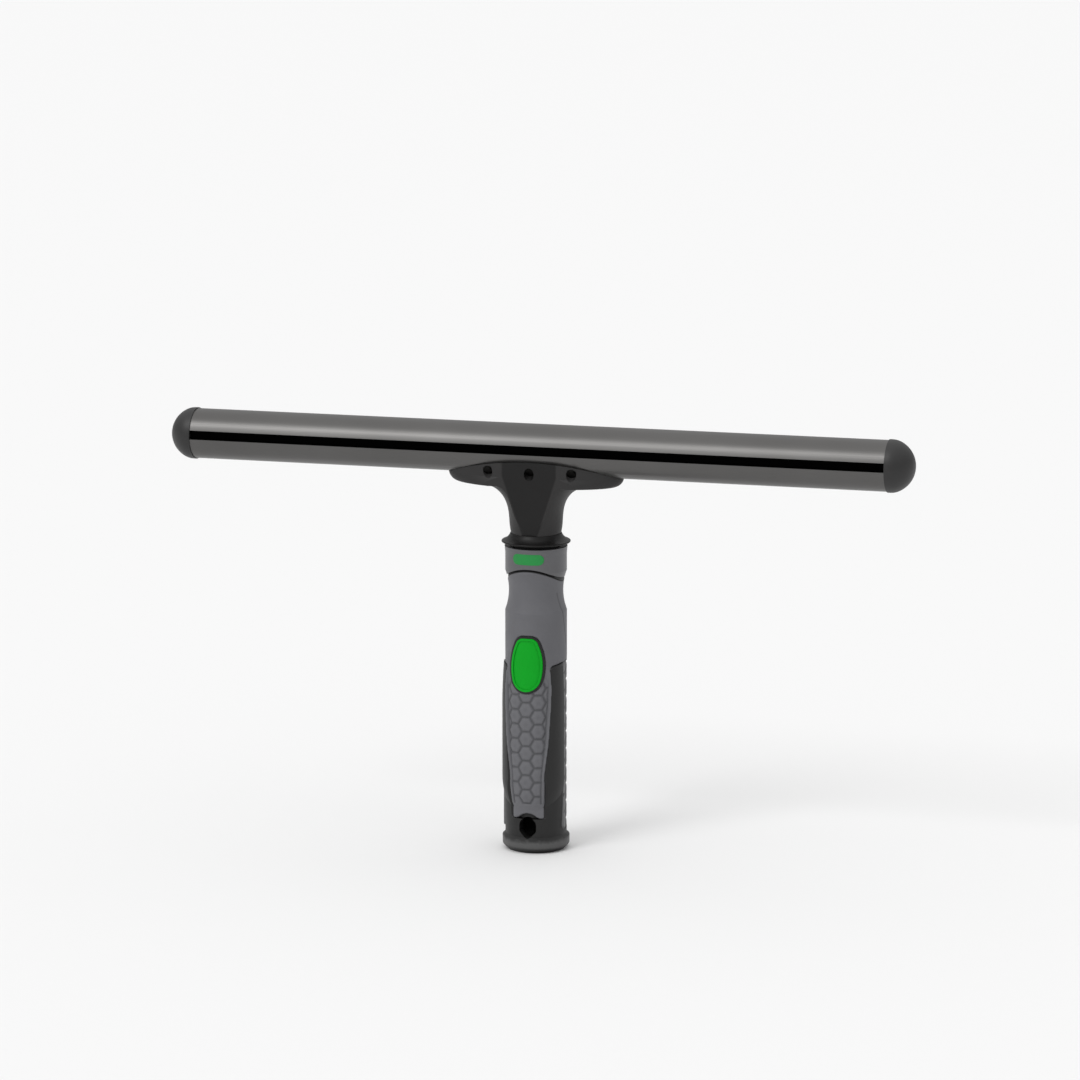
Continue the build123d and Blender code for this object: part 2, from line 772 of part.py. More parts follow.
with BuildPart() as upper_bush:
    with BuildSketch(Plane.XY.offset(core_height)):
        Circle(upper_bush_flange_radius)
    extrude(amount=bush_flange_thickness)
    with BuildSketch(Plane.XY.offset(core_height)):
        Circle(bush_radius)
    extrude(amount=-upper_bush_length)
    with Locations((0, 0, core_height + bush_flange_thickness)):
        Hole(spindle_radius + running_gap)
upper_bush.part.label = "upper_bush"
export_step(upper_bush.part, "parts/upper_bush.step")

# Seal ring on the core's top face, between the bush flange and the collar
with BuildPart() as swivel_seal:
    with BuildSketch(Plane.XZ):
        seal_radius = (upper_bush_flange_radius + core_neck_radius) / 2
        with Locations((seal_radius, core_height + seal_height / 2)):
            Rectangle(seal_width, seal_height)
    revolve(axis=Axis.Z)
swivel_seal.part.label = "swivel_seal"
export_step(swivel_seal.part, "parts/swivel_seal.step")

# Drip skirt: hollow-sided brim with a thin rim that sheds water past the handle
with BuildPart() as drip_skirt:
    with BuildSketch(Plane.XZ):
        with BuildLine():
            brim_radius = skirt_radius - skirt_rim_height / 2
            brim_height = skirt_rim_bottom + skirt_rim_height
            rim_low = (brim_radius, skirt_rim_bottom)
            rim_side = (skirt_radius, skirt_rim_bottom + skirt_rim_height / 2)
            rim_high = (brim_radius, brim_height)
            bend_radius = skirt_top_radius + skirt_bend_width_share * (brim_radius - skirt_top_radius)
            bend_height = brim_height + skirt_bend_height_share * (neck_foot - brim_height)
            cup_radius = neck_radius + assembly_gap
            ThreePointArc(rim_low, rim_side, rim_high)
            ThreePointArc(rim_high, (bend_radius, bend_height), (skirt_top_radius, neck_foot))
            Polyline(
                (skirt_top_radius, neck_foot),
                (cup_radius, neck_foot),
                (cup_radius, neck_seat),
                (spindle_radius + assembly_gap, neck_seat),
                (spindle_radius + assembly_gap, skirt_bottom),
                (core_neck_radius, skirt_bottom),
                (core_neck_radius + skirt_rim_lift, skirt_rim_bottom),
                rim_low,
            )
        make_face()
    revolve(axis=Axis.Z)
drip_skirt.part.label = "drip_skirt"
export_step(drip_skirt.part, "parts/drip_skirt.step")

# Planes square to each saddle screw, centred on the bar's axis
saddle_screw_planes = []
for column in range(saddle_screw_columns):
    for side in (-1, 1):
        lean = radians(saddle_screw_angle)
        saddle_screw_planes.append(
            Plane(
                origin=((column - (saddle_screw_columns - 1) / 2) * saddle_screw_spacing, 0, tube_axis_height),
                x_dir=(1, 0, 0),
                z_dir=(0, side * sin(lean), -cos(lean)),
            )
        )

# Neck and saddle with the spindle that turns in the handle
with BuildPart() as neck_saddle:
    for rise, spread, depth in zip(neck_rise_shares, neck_spread_shares, neck_depth_shares):
        half_length = neck_radius + spread * (saddle_half_length - neck_radius)
        half_depth = depth * (neck_radius + rise * (tube_radius - neck_radius))
        with BuildSketch(Plane.XY.offset(neck_foot + rise * (saddle_tip_height - neck_foot))):
            Ellipse(half_length, half_depth)
    loft()
    with BuildSketch(Plane.XY.offset(saddle_tip_height)):
        Ellipse(half_length, half_depth)
    extrude(amount=saddle_peak - saddle_tip_height)
    with BuildSketch(Plane.XY.offset(neck_seat)):
        Circle(neck_radius)
    extrude(amount=neck_foot - neck_seat)
    # Flat facets front and back
    with BuildSketch(Plane.YZ):
        with BuildLine():
            facet_low = neck_radius - facet_depth_low
            facet_high = tube_radius + facet_wall_high
            Polyline(
                (-facet_low, neck_seat),
                (-facet_low, neck_foot),
                (-facet_high, saddle_peak),
                (facet_high, saddle_peak),
                (facet_low, neck_foot),
                (facet_low, neck_seat),
                close=True,
            )
        make_face()
    extrude(amount=saddle_half_length + overrun, both=True, mode=Mode.INTERSECT)
    # The saddle's upper edge arcs up the side of the tube
    with BuildSketch(Plane.XZ):
        with BuildLine():
            edge_low = saddle_tip_height + saddle_lip
            edge_start = (-saddle_half_length, edge_low)
            ThreePointArc(edge_start, (0, saddle_peak), (saddle_half_length, edge_low))
            Polyline(
                (saddle_half_length, edge_low),
                (saddle_half_length + overrun, edge_low),
                (saddle_half_length + overrun, neck_seat),
                (-saddle_half_length - overrun, neck_seat),
                (-saddle_half_length - overrun, edge_low),
                (-saddle_half_length, edge_low),
            )
        make_face()
    extrude(amount=reach, both=True, mode=Mode.INTERSECT)
    with BuildSketch(Plane.YZ):
        with Locations((0, tube_axis_height)):
            Circle(tube_radius + assembly_gap)
    extrude(amount=saddle_half_length + overrun, both=True, mode=Mode.SUBTRACT)
    # Screw wells and holes
    with BuildSketch(*[plane.offset(saddle_screw_seat) for plane in saddle_screw_planes]):
        Circle(saddle_screw_well_radius)
    extrude(amount=tube_radius, mode=Mode.SUBTRACT)
    with BuildSketch(*[plane.offset(tube_inner_radius) for plane in saddle_screw_planes]):
        Circle(saddle_screw_radius + assembly_gap)
    extrude(amount=tube_radius, mode=Mode.SUBTRACT)
    # Spindle, the flatted boss for the index ring and the screw hole in its end
    with BuildSketch(Plane.XY.offset(index_ring_top)):
        Circle(spindle_radius)
    extrude(amount=neck_seat - index_ring_top)
    with BuildSketch(Plane.XY.offset(spindle_end)):
        Circle(index_boss_radius)
        Rectangle(index_flat_width, 2 * index_boss_radius, mode=Mode.INTERSECT)
    extrude(amount=index_ring_top - spindle_end)
    with BuildSketch(Plane.XY.offset(spindle_end)):
        Circle(screw_shank_radius + assembly_gap)
    extrude(amount=screw_length, mode=Mode.SUBTRACT)
neck_saddle.part.label = "neck_saddle"
export_step(neck_saddle.part, "parts/neck_saddle.step")

# Index ring: five notches, one for each position of the head
with BuildPart() as index_ring:
    with BuildSketch(Plane.XY.offset(index_ring_bottom)):
        Circle(index_ring_radius)
    extrude(amount=index_ring_height)
    with BuildSketch(Plane.XY.offset(index_ring_bottom)):
        Circle(index_boss_radius + assembly_gap)
        Rectangle(index_flat_width + 2 * assembly_gap, 2 * reach, mode=Mode.INTERSECT)
    extrude(amount=index_ring_height, mode=Mode.SUBTRACT)
    with BuildSketch(Plane.XY.offset(index_ring_bottom)):
        Circle(washer_radius + assembly_gap)
    extrude(amount=washer_recess, mode=Mode.SUBTRACT)
    with BuildSketch(Plane.XY.offset(index_ring_bottom)):
        notch_span = notch_step * (notch_count - 1)
        first_notch = front_angle - notch_span / 2
        with PolarLocations(notch_root_radius + reach / 2, notch_count, first_notch, notch_span, endpoint=True):
            Rectangle(reach, notch_width)
    extrude(amount=notch_depth, mode=Mode.SUBTRACT)
index_ring.part.label = "index_ring"
export_step(index_ring.part, "parts/index_ring.step")

with BuildPart() as retaining_washer:
    with BuildSketch(Plane.XY.offset(spindle_end)):
        Circle(washer_radius)
        Circle(screw_shank_radius + assembly_gap, mode=Mode.SUBTRACT)
    extrude(amount=-washer_thickness)
retaining_washer.part.label = "retaining_washer"
export_step(retaining_washer.part, "parts/retaining_washer.step")

with BuildPart() as retaining_screw:
    with BuildSketch(Plane.XY.offset(spindle_end - washer_thickness)):
        Circle(screw_head_radius)
    extrude(amount=-screw_head_height)
    with BuildSketch(Plane.XY.offset(spindle_end - washer_thickness)):
        Circle(screw_shank_radius)
    extrude(amount=screw_length)
    with BuildSketch(Plane.XY.offset(spindle_end - washer_thickness - screw_head_height)):
        RegularPolygon(screw_socket_radius, 6)
    extrude(amount=screw_head_height / 2, mode=Mode.SUBTRACT)
retaining_screw.part.label = "retaining_screw"
export_step(retaining_screw.part, "parts/retaining_screw.step")

# Bar tube: a thin extrusion with a shallow channel along its front and back
with BuildPart() as bar_tube:
    with BuildSketch(Plane.YZ):
        with Locations((0, tube_axis_height)):
            Circle(tube_radius)
            Circle(tube_inner_radius, mode=Mode.SUBTRACT)
    extrude(amount=tube_half, both=True)
    with BuildSketch(Plane.YZ):
        channel_floor = tube_radius - channel_depth
        with Locations((0, tube_axis_height + channel_rise)):
            Rectangle(2 * tube_radius, channel_width + 2 * tube_wall)
            Rectangle(2 * (channel_floor - tube_wall), channel_width + 2 * tube_wall, mode=Mode.SUBTRACT)
    extrude(amount=tube_half, both=True)
    with BuildSketch(Plane.YZ):
        with Locations((0, tube_axis_height)):
            Circle(tube_radius)
    extrude(amount=tube_half, both=True, mode=Mode.INTERSECT)
    with BuildSketch(Plane.YZ):
        for side in (-1, 1):
            with Locations((side * (channel_floor + overrun / 2), tube_axis_height + channel_rise)):
                Rectangle(overrun, channel_width)
    extrude(amount=tube_half, both=True, mode=Mode.SUBTRACT)
    with BuildSketch(*[plane.offset(tube_inner_radius - tube_wall) for plane in saddle_screw_planes]):
        Circle(saddle_screw_radius + assembly_gap)
    extrude(amount=tube_radius, mode=Mode.SUBTRACT)
bar_tube.part.label = "bar_tube"
export_step(bar_tube.part, "parts/bar_tube.step")

# Screws through the saddle into the tube
with BuildPart() as saddle_screws:
    with BuildSketch(*[plane.offset(saddle_screw_seat) for plane in saddle_screw_planes]):
        Circle(saddle_screw_head_radius)
    extrude(amount=saddle_screw_head_height)
    with BuildSketch(*[plane.offset(saddle_screw_seat) for plane in saddle_screw_planes]):
        Circle(saddle_screw_radius)
    extrude(amount=-saddle_screw_length)
saddle_screws.part.label = "saddle_screws"
export_step(saddle_screws.part, "parts/saddle_screws.step")

# End caps: hollow dome, a lip against the tube's end and a ribbed plug inside it
bar_axis = Axis((0, 0, tube_axis_height), (1, 0, 0))
with BuildPart() as end_cap_right:
    with BuildSketch(Plane.XZ):
        with BuildLine():
            plug_start = tube_half - cap_plug_length
            dome_start = tube_half + cap_lip
            dome_length = cap_reach - cap_lip
            lip_radius = tube_radius + cap_step
            hollow_radius = cap_plug_radius - cap_wall
            shoulder_radius = dome_shoulder_share * lip_radius
            shoulder_drop = lip_radius - shoulder_radius
            # The crown's radius makes it touch the shoulder's arc and end square to the axis
            crown_radius = (dome_length**2 + shoulder_drop**2 - shoulder_radius**2) / (
                2 * (dome_length - shoulder_radius)
            )
            crown_angle = degrees(atan2(shoulder_drop, crown_radius - dome_length))
            dome_end = dome_start + dome_length
            shoulder_center = (dome_start, tube_axis_height + shoulder_drop)
            Polyline(
                (dome_end, tube_axis_height),
                (dome_end - cap_wall, tube_axis_height),
                (tube_half, tube_axis_height + hollow_radius),
                (plug_start, tube_axis_height + hollow_radius),
                (plug_start, tube_axis_height + cap_plug_radius),
                (tube_half, tube_axis_height + cap_plug_radius),
                (tube_half, tube_axis_height + lip_radius),
                (dome_start, tube_axis_height + lip_radius),
            )
            shoulder_sweep = half_turn / 2 - crown_angle
            CenterArc(shoulder_center, shoulder_radius, crown_angle, shoulder_sweep)
            CenterArc((dome_end - crown_radius, tube_axis_height), crown_radius, 0, crown_angle)
        make_face()
    revolve(axis=bar_axis)
    with BuildSketch(Plane.YZ.offset(plug_start + cap_wall)):
        rib_reach = tube_inner_radius - assembly_gap
        with Locations((0, tube_axis_height)):
            rib_root = cap_plug_radius - cap_wall / 2
            rib_turn = half_turn / crush_rib_count
            with PolarLocations((rib_reach + rib_root) / 2, crush_rib_count, rib_turn):
                Rectangle(rib_reach - rib_root, crush_rib_width)
    extrude(amount=cap_plug_length - cap_wall)
end_cap_right.part.label = "end_cap_right"
export_step(end_cap_right.part, "parts/end_cap_right.step")

with BuildPart() as end_cap_left:
    add(mirror(end_cap_right.part, about=Plane.YZ, mode=Mode.PRIVATE))
end_cap_left.part.label = "end_cap_left"
export_step(end_cap_left.part, "parts/end_cap_left.step")
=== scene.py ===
"""Window scrubber: a black tube bar on a neck that swivels in a soft-grip handle.

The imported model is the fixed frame. Each operator dresses one group of its pieces.
"""

import math

import bmesh
import bpy
import numpy as np
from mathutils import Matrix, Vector
from mathutils.geometry import convex_hull_2d


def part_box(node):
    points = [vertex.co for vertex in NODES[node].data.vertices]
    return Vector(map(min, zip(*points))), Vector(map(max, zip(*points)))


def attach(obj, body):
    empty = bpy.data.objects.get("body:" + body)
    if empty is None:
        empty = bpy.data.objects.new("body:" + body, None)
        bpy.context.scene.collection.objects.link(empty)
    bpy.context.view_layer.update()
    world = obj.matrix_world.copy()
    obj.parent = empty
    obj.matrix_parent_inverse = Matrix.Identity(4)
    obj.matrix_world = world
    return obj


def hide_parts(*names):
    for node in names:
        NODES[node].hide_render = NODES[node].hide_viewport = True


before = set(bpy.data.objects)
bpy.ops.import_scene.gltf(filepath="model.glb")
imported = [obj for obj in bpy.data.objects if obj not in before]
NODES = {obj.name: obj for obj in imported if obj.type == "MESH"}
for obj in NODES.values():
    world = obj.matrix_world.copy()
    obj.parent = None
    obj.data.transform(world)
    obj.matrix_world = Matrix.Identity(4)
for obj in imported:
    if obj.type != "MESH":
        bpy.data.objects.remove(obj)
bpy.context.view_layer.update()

bl_info = {
    "name": "Window Scrubber",
    "version": (1, 0, 0),
    "blender": (4, 5, 0),
    "location": "View3D > Sidebar > Scrubber",
    "description": "Dresses the packed window scrubber with its grips, finishes and studio",
    "category": "Object",
}

MM = 0.001

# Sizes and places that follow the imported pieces
TUBE_LOW, TUBE_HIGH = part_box("bar_tube")
BAR_CENTER = (TUBE_LOW + TUBE_HIGH) / 2
CHANNEL_EDGE = (TUBE_HIGH.z - TUBE_LOW.z) / 2 - 0.3 * MM  # the channel lies inside this radius
BODY_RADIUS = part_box("front_grip")[1].x
COLLAR_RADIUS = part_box("collar")[1].x
REAR_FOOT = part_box("rear_grip")[0].z

# The V-shaped face of the neck, painted darker as painted shade: heights of its foot and head,
# and half its width at each
V_FOOT_HEIGHT, V_HEAD_HEIGHT = 190 * MM, 226 * MM
V_FOOT_HALF, V_HEAD_HALF = 4.5 * MM, 16.5 * MM
V_SOFTNESS = 0.5 * MM

# Patterns of the finishes, at their real sizes
PIT_SIZE, PIT_DEPTH = 0.5 * MM, 0.02 * MM  # spark-eroded pits of moulded plastic
CLOUD_SIZE = 14 * MM  # slow drift of a moulded piece's tone
ROUGHNESS_SPREAD = 0.06
# The foot ring is painted paler in lumps of this size, as a painted highlight
FOOT_HIGHLIGHT_LUMP = 3 * MM
FOOT_HIGHLIGHT_TOP, FOOT_HIGHLIGHT_FULL = 10 * MM, 7.5 * MM  # the painted highlight on the foot ring runs out between these heights
# Reach of the painted shade in the core's inward corners
CREVICE_REACH = 5 * MM
SHADE_AND_DARKENING_LAYER = "groove"  # how dark each point of a soft grip is painted: painted shade, and a plain darkening up the sleeve

# Sockets of a mix node that carry colours: its two inputs and its output
MIX_FIRST, MIX_SECOND, MIX_RESULT = 6, 7, 2


# Colours and nodes


def linear(code):
    """Linear RGBA of an sRGB hex colour such as #1E1E1F."""
    channels = []
    for start in (1, 3, 5):
        value = int(code[start:start + 2], 16) / 255
        if value <= 0.04045:
            channels.append(value / 12.92)
        else:
            channels.append(((value + 0.055) / 1.055) ** 2.4)
    return (*channels, 1.0)


def add_node(material, kind, inputs=None, **settings):
    """Adds a node to a material or world; an input takes a value or another node's socket."""
    tree = material.node_tree
    node = tree.nodes.new(kind)
    for name, value in settings.items():
        setattr(node, name, value)
    for name, value in (inputs or {}).items():
        if isinstance(value, bpy.types.NodeSocket):
            tree.links.new(value, node.inputs[name])
        else:
            node.inputs[name].default_value = value
    return node


def new_material(name):
    """An empty node material."""
    material = bpy.data.materials.new(name)
    material.use_nodes = True
    material.node_tree.nodes.clear()
    return material


def object_position(material):
    """Position on the piece in metres; it turns and slides with the piece."""
    return add_node(material, "ShaderNodeTexCoord").outputs["Object"]


def grain(material, position, size, detail=3.0, stretch=(1, 1, 1)):
    """Noise whose lumps are about `size` metres across."""
    placed = add_node(
        material, "ShaderNodeMapping", {"Vector": position, "Scale": Vector(stretch)}
    )
    return add_node(
        material,
        "ShaderNodeTexNoise",
        {"Vector": placed.outputs["Vector"], "Scale": 1 / size, "Detail": detail},
    ).outputs["Fac"]


def mapped(material, value, target, source=(0.0, 1.0)):
    """Maps the source range to the target range, and holds its ends beyond."""
    return add_node(
        material,
        "ShaderNodeMapRange",
        {
            "Value": value,
            "From Min": source[0],
            "From Max": source[1],
            "To Min": target[0],
            "To Max": target[1],
        },
    ).outputs["Result"]


def calculated(material, operation, *values):
    """Result of a math node."""
    inputs = dict(enumerate(values))
    return add_node(material, "ShaderNodeMath", inputs, operation=operation).outputs["Value"]


def mixed(material, factor, first, second):
    """Colour that runs from the first to the second with the factor."""
    inputs = {"Factor": factor, MIX_FIRST: first, MIX_SECOND: second}
    return add_node(material, "ShaderNodeMix", inputs, data_type="RGBA").outputs[MIX_RESULT]


def finished(material, colour, texture, roughness, depth, extra=None):
    """Gives the material its shader: the texture varies the roughness and makes the relief."""
    bump = add_node(
        material, "ShaderNodeBump", {"Height": texture, "Distance": depth, "Strength": 1.0}
    )
    shader = add_node(
        material,
        "ShaderNodeBsdfPrincipled",
        {
            "Base Color": colour,
            "Roughness": mapped(material, texture, roughness),
            "Normal": bump.outputs["Normal"],
            **(extra or {}),
        },
    )
    add_node(material, "ShaderNodeOutputMaterial", {"Surface": shader.outputs["BSDF"]})
    return material


# Materials


def moulded_plastic(name, dark, light, roughness, ior=1.49):
    """Injection-moulded plastic with a spark-eroded texture.

    The eye gets a soft sheen that the fine pits break up, and a slight cloudiness in the colour.
    """
    material = new_material(name)
    position = object_position(material)
    pits = grain(material, position, PIT_SIZE)
    cloud = grain(material, position, CLOUD_SIZE, 2.0)
    colour = mixed(material, cloud, dark, light)
    span = (roughness - ROUGHNESS_SPREAD, roughness + ROUGHNESS_SPREAD)
    return finished(material, colour, pits, span, PIT_DEPTH, {"IOR": ior})


def core_polypropylene(colours):
    """Polypropylene, injection moulded in black.

    Painted shade darkens the inward corners beside the soft grips, and the foot ring is painted
    paler in lumps as a painted highlight.
    """
    material = new_material("polypropylene_black_moulded")
    position = object_position(material)
    pits = grain(material, position, PIT_SIZE)
    cloud = grain(material, position, CLOUD_SIZE, 2.0)
    plain = mixed(material, cloud, colours.core_dark, colours.core_light)
    height = add_node(material, "ShaderNodeSeparateXYZ", {"Vector": position}).outputs["Z"]
    # Painted highlight: the foot ring is painted paler in lumps below about 10 mm
    lumps = grain(material, position, FOOT_HIGHLIGHT_LUMP)
    uneven = calculated(material, "MULTIPLY_ADD", lumps, FOOT_HIGHLIGHT_LUMP, height)
    foot_highlight_share = mapped(material, uneven, (0.0, 0.75), (FOOT_HIGHLIGHT_TOP, FOOT_HIGHLIGHT_FULL))
    foot_lit = mixed(material, foot_highlight_share, plain, colours.core_foot_highlight)
    # Painted shade: ambient occlusion darkens the colour in the inward corners beside the grips
    crevices = add_node(
        material, "ShaderNodeAmbientOcclusion", {"Distance": CREVICE_REACH}, samples=8
    )
    unshaded = mapped(material, crevices.outputs["AO"], (0.0, 1.0), (0.35, 0.95))
    colour = mixed(material, unshaded, colours.core_crevice_shade, foot_lit)
    return finished(material, colour, pits, (0.40, 0.52), PIT_DEPTH, {"IOR": 1.38})


def anodised_tube(colours):
    """Extruded aluminium, satin etched and black anodised.

    The dyed oxide is dark and gives a broad, soft streak; faint die lines run along the bar.
    The channel that holds a sleeve's fastening is painted near black and less metallic,
    as painted shade for its depth.
    """
    material = new_material("aluminium_black_anodised_extruded")
    position = object_position(material)
    die_lines = grain(material, position, 0.6 * MM, 2.0, (0.004, 1, 1))
    cloud = grain(material, position, 40 * MM, 2.0)
    from_axis = add_node(
        material,
        "ShaderNodeVectorMath",
        {0: position, 1: Vector((0, 0, BAR_CENTER.z))},
        operation="SUBTRACT",
    ).outputs["Vector"]
    across = add_node(
        material,
        "ShaderNodeVectorMath",
        {0: from_axis, 1: Vector((0, 1, 1))},
        operation="MULTIPLY",
    ).outputs["Vector"]
    radius = add_node(
        material, "ShaderNodeVectorMath", {0: across}, operation="LENGTH"
    ).outputs["Value"]
    # Painted shade: inside the channel's radius the colour is near black and less metallic
    skin = calculated(material, "GREATER_THAN", radius, CHANNEL_EDGE)
    etched = mixed(material, cloud, colours.tube_dark, colours.tube_light)
    colour = mixed(material, skin, colours.tube_channel_shade, etched)
    metal = {"Metallic": mapped(material, skin, (1.0, 0.8))}
    return finished(material, colour, die_lines, (0.32, 0.42), 0.006 * MM, metal)


def soft_grip(name, dark, light, groove):
    """Overmoulded thermoplastic rubber, from an etched mould.

    It is nearly matt, with a faint bloom at grazing angles. Its colour is painted darker where
    its layer says: painted shade in the grooves, dishes, crease and lip, and a plain darkening up
    the sleeve.
    """
    material = new_material(name)
    position = object_position(material)
    pits = grain(material, position, 0.45 * MM)
    cloud = grain(material, position, 9 * MM)
    face = mixed(material, cloud, dark, light)
    # Painted shade: the layer runs the colour towards the dark groove colour
    shade_and_darkening = add_node(material, "ShaderNodeAttribute", attribute_name=SHADE_AND_DARKENING_LAYER)
    colour = mixed(material, shade_and_darkening.outputs["Fac"], face, groove)
    bloom = {"IOR": 1.5, "Sheen Weight": 0.08, "Sheen Roughness": 0.5}
    return finished(material, colour, pits, (0.58, 0.72), 0.03 * MM, bloom)


def turned_steel():
    """Stainless steel, turned and tumbled: bright, with short soft scratches."""
    material = new_material("stainless_steel_turned")
    position = object_position(material)
    scratches = grain(material, position, 0.3 * MM, 4.0, (1, 1, 0.2))
    colour = mixed(material, scratches, linear("#9A9A98"), linear("#B9B9B6"))
    metal = {"Metallic": 1.0}
    return finished(material, colour, scratches, (0.26, 0.42), 0.008 * MM, metal)


def blackened_steel():
    """Steel screws, cold headed and black oxided: dark, with an oily, uneven sheen."""
    material = new_material("steel_black_oxided")
    position = object_position(material)
    blotches = grain(material, position, 1.2 * MM)
    colour = mixed(material, blotches, linear("#141413"), linear("#1F1E1D"))
    metal = {"Metallic": 1.0}
    return finished(material, colour, blotches, (0.38, 0.55), 0.01 * MM, metal)


def neck_nylon(colours):
    """Glass-filled nylon, injection moulded: grey-black and softly matt.

    A sunk V-shaped face runs down the neck; it is painted darker, as painted shade for a face
    that turns down from the light.
    """
    material = new_material("nylon_glass_filled_black")
    position = object_position(material)
    pits = grain(material, position, 0.7 * MM)
    cloud = grain(material, position, CLOUD_SIZE, 2.0)
    place = add_node(material, "ShaderNodeSeparateXYZ", {"Vector": position})
    across = calculated(material, "ABSOLUTE", place.outputs["X"])
    edge = mapped(
        material,
        place.outputs["Z"],
        (V_FOOT_HALF, V_HEAD_HALF),
        (V_FOOT_HEIGHT, V_HEAD_HEIGHT),
    )
    outside = calculated(material, "SUBTRACT", across, edge)
    beside = mapped(material, outside, (0.0, 1.0), (-V_SOFTNESS, V_SOFTNESS))
    # Painted shade: the V-shaped face is coloured darker than the flanks
    face = mixed(material, cloud, colours.neck_face_shade_dark, colours.neck_face_shade_light)
    flank = mixed(material, cloud, colours.neck_dark, colours.neck_light)
    colour = mixed(material, beside, face, flank)
    return finished(material, colour, pits, (0.46, 0.56), PIT_DEPTH, {"IOR": 1.36})


def dress(node, material):
    """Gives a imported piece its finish."""
    piece = NODES[node]
    if not piece.material_slots:
        piece.data.materials.append(material)
    for place in piece.material_slots:
        place.material = material


# Shape of the handle's skin


def smoothstep(value, low, high):
    """Runs softly from 0 at the low value to 1 at the high one."""
    share = np.clip((value - low) / (high - low), 0, 1)
    return share * share * (3 - 2 * share)


def soft_larger(first, second, blend):
    """The larger of two values, rounded over where they cross."""
    share = np.clip(0.5 + 0.5 * (second - first) / blend, 0, 1)
    return first + (second - first) * share + blend * share * (1 - share) / 2


def joined(first, second, rounding):
    """Depth inside either of two regions, with the inward corner between them rounded."""
    corner = np.hypot(np.clip(rounding + first, 0, None), np.clip(rounding + second, 0, None))
    return corner - np.maximum(rounding, np.minimum(-first, -second))


def shared(first, second, rounding):
    """Depth inside both of two regions, with the corner between them rounded."""
    corner = np.hypot(np.clip(rounding - first, 0, None), np.clip(rounding - second, 0, None))
    return np.maximum(rounding, np.minimum(first, second)) - corner


def belly_radius(height, sizes):
    """Radius of the belly about its own axis, which lies nearer the front."""
    under = (sizes.belly_full_bottom - height) / (sizes.belly_full_bottom - sizes.belly_bottom)
    over = (height - sizes.belly_full_top) / (sizes.belly_top - sizes.belly_full_top)
    away = np.clip(np.maximum(under, over), 0, 1)
    return BODY_RADIUS - (sizes.belly_depth + sizes.belly_bury) * away ** 2


def skin_radius(angle, height, sizes):
    """Radius of the handle's outer skin: straight body, front belly and waist."""
    fall = BODY_RADIUS - sizes.waist_radius
    reach = (sizes.waist_top - sizes.waist_low) / 2
    bend = (reach * reach + fall * fall) / (2 * fall)
    inside = np.clip(bend * bend - (height - sizes.waist_middle) ** 2, 0, None)
    arc = sizes.waist_radius + bend - np.sqrt(inside)
    waist = (height > sizes.waist_low) & (height < sizes.waist_top)
    body = np.where(waist, np.minimum(arc, BODY_RADIUS), BODY_RADIUS)

    shift = sizes.belly_depth
    side = np.clip(belly_radius(height, sizes) ** 2 - (shift * np.sin(angle)) ** 2, 0, None)
    belly = shift * np.cos(angle) + np.sqrt(side)
    belly = np.where((height > sizes.belly_bottom) & (height < sizes.belly_top), belly, 0)
    return soft_larger(body, belly, sizes.belly_blend)


def angle_at_depth(depth, height, sizes):
    """Turn from the front at which the skin lies at the depth; the front is negative."""
    straight = np.sqrt(np.clip(BODY_RADIUS ** 2 - depth ** 2, 0, None))
    belly = belly_radius(height, sizes) ** 2 - (depth + sizes.belly_depth) ** 2
    return np.arctan2(np.maximum(straight, np.sqrt(np.clip(belly, 0, None))), -depth)


def step_height(depth, sizes):
    """Height of the slanted joint between the upper sleeve and the pads below it."""
    climb = (depth + sizes.tongue_wide_depth) / sizes.step_run
    return sizes.step_front + sizes.step_climb * climb


def seam_height(angle, sizes):
    """Height of the curved seam below the collar, an arc in the front view."""
    drop = sizes.seam_drop
    bend = (COLLAR_RADIUS * COLLAR_RADIUS + drop * drop) / (2 * drop)
    return sizes.seam_peak - bend + np.sqrt(bend ** 2 - (COLLAR_RADIUS * np.sin(angle)) ** 2)


def beside_bezel(across, height):
    """Distance outside the bezel's outline as the front view shows it."""
    spots = [Vector((point.co.x, point.co.z)) for point in NODES["button_bezel"].data.vertices]
    ring = [spots[index] for index in convex_hull_2d(spots)]
    middle = sum(ring, Vector((0, 0))) / len(ring)
    distance = np.full_like(across, -np.inf)
    for start, end in zip(ring, ring[1:] + ring[:1]):
        along = end - start
        if along.length > 0.01 * MM:
            normal = Vector((along.y, -along.x)).normalized()
            if normal.dot(start - middle) < 0:
                normal.negate()
            line = across * normal.x + height * normal.y - normal.dot(start)
            distance = np.maximum(distance, line)
    return distance


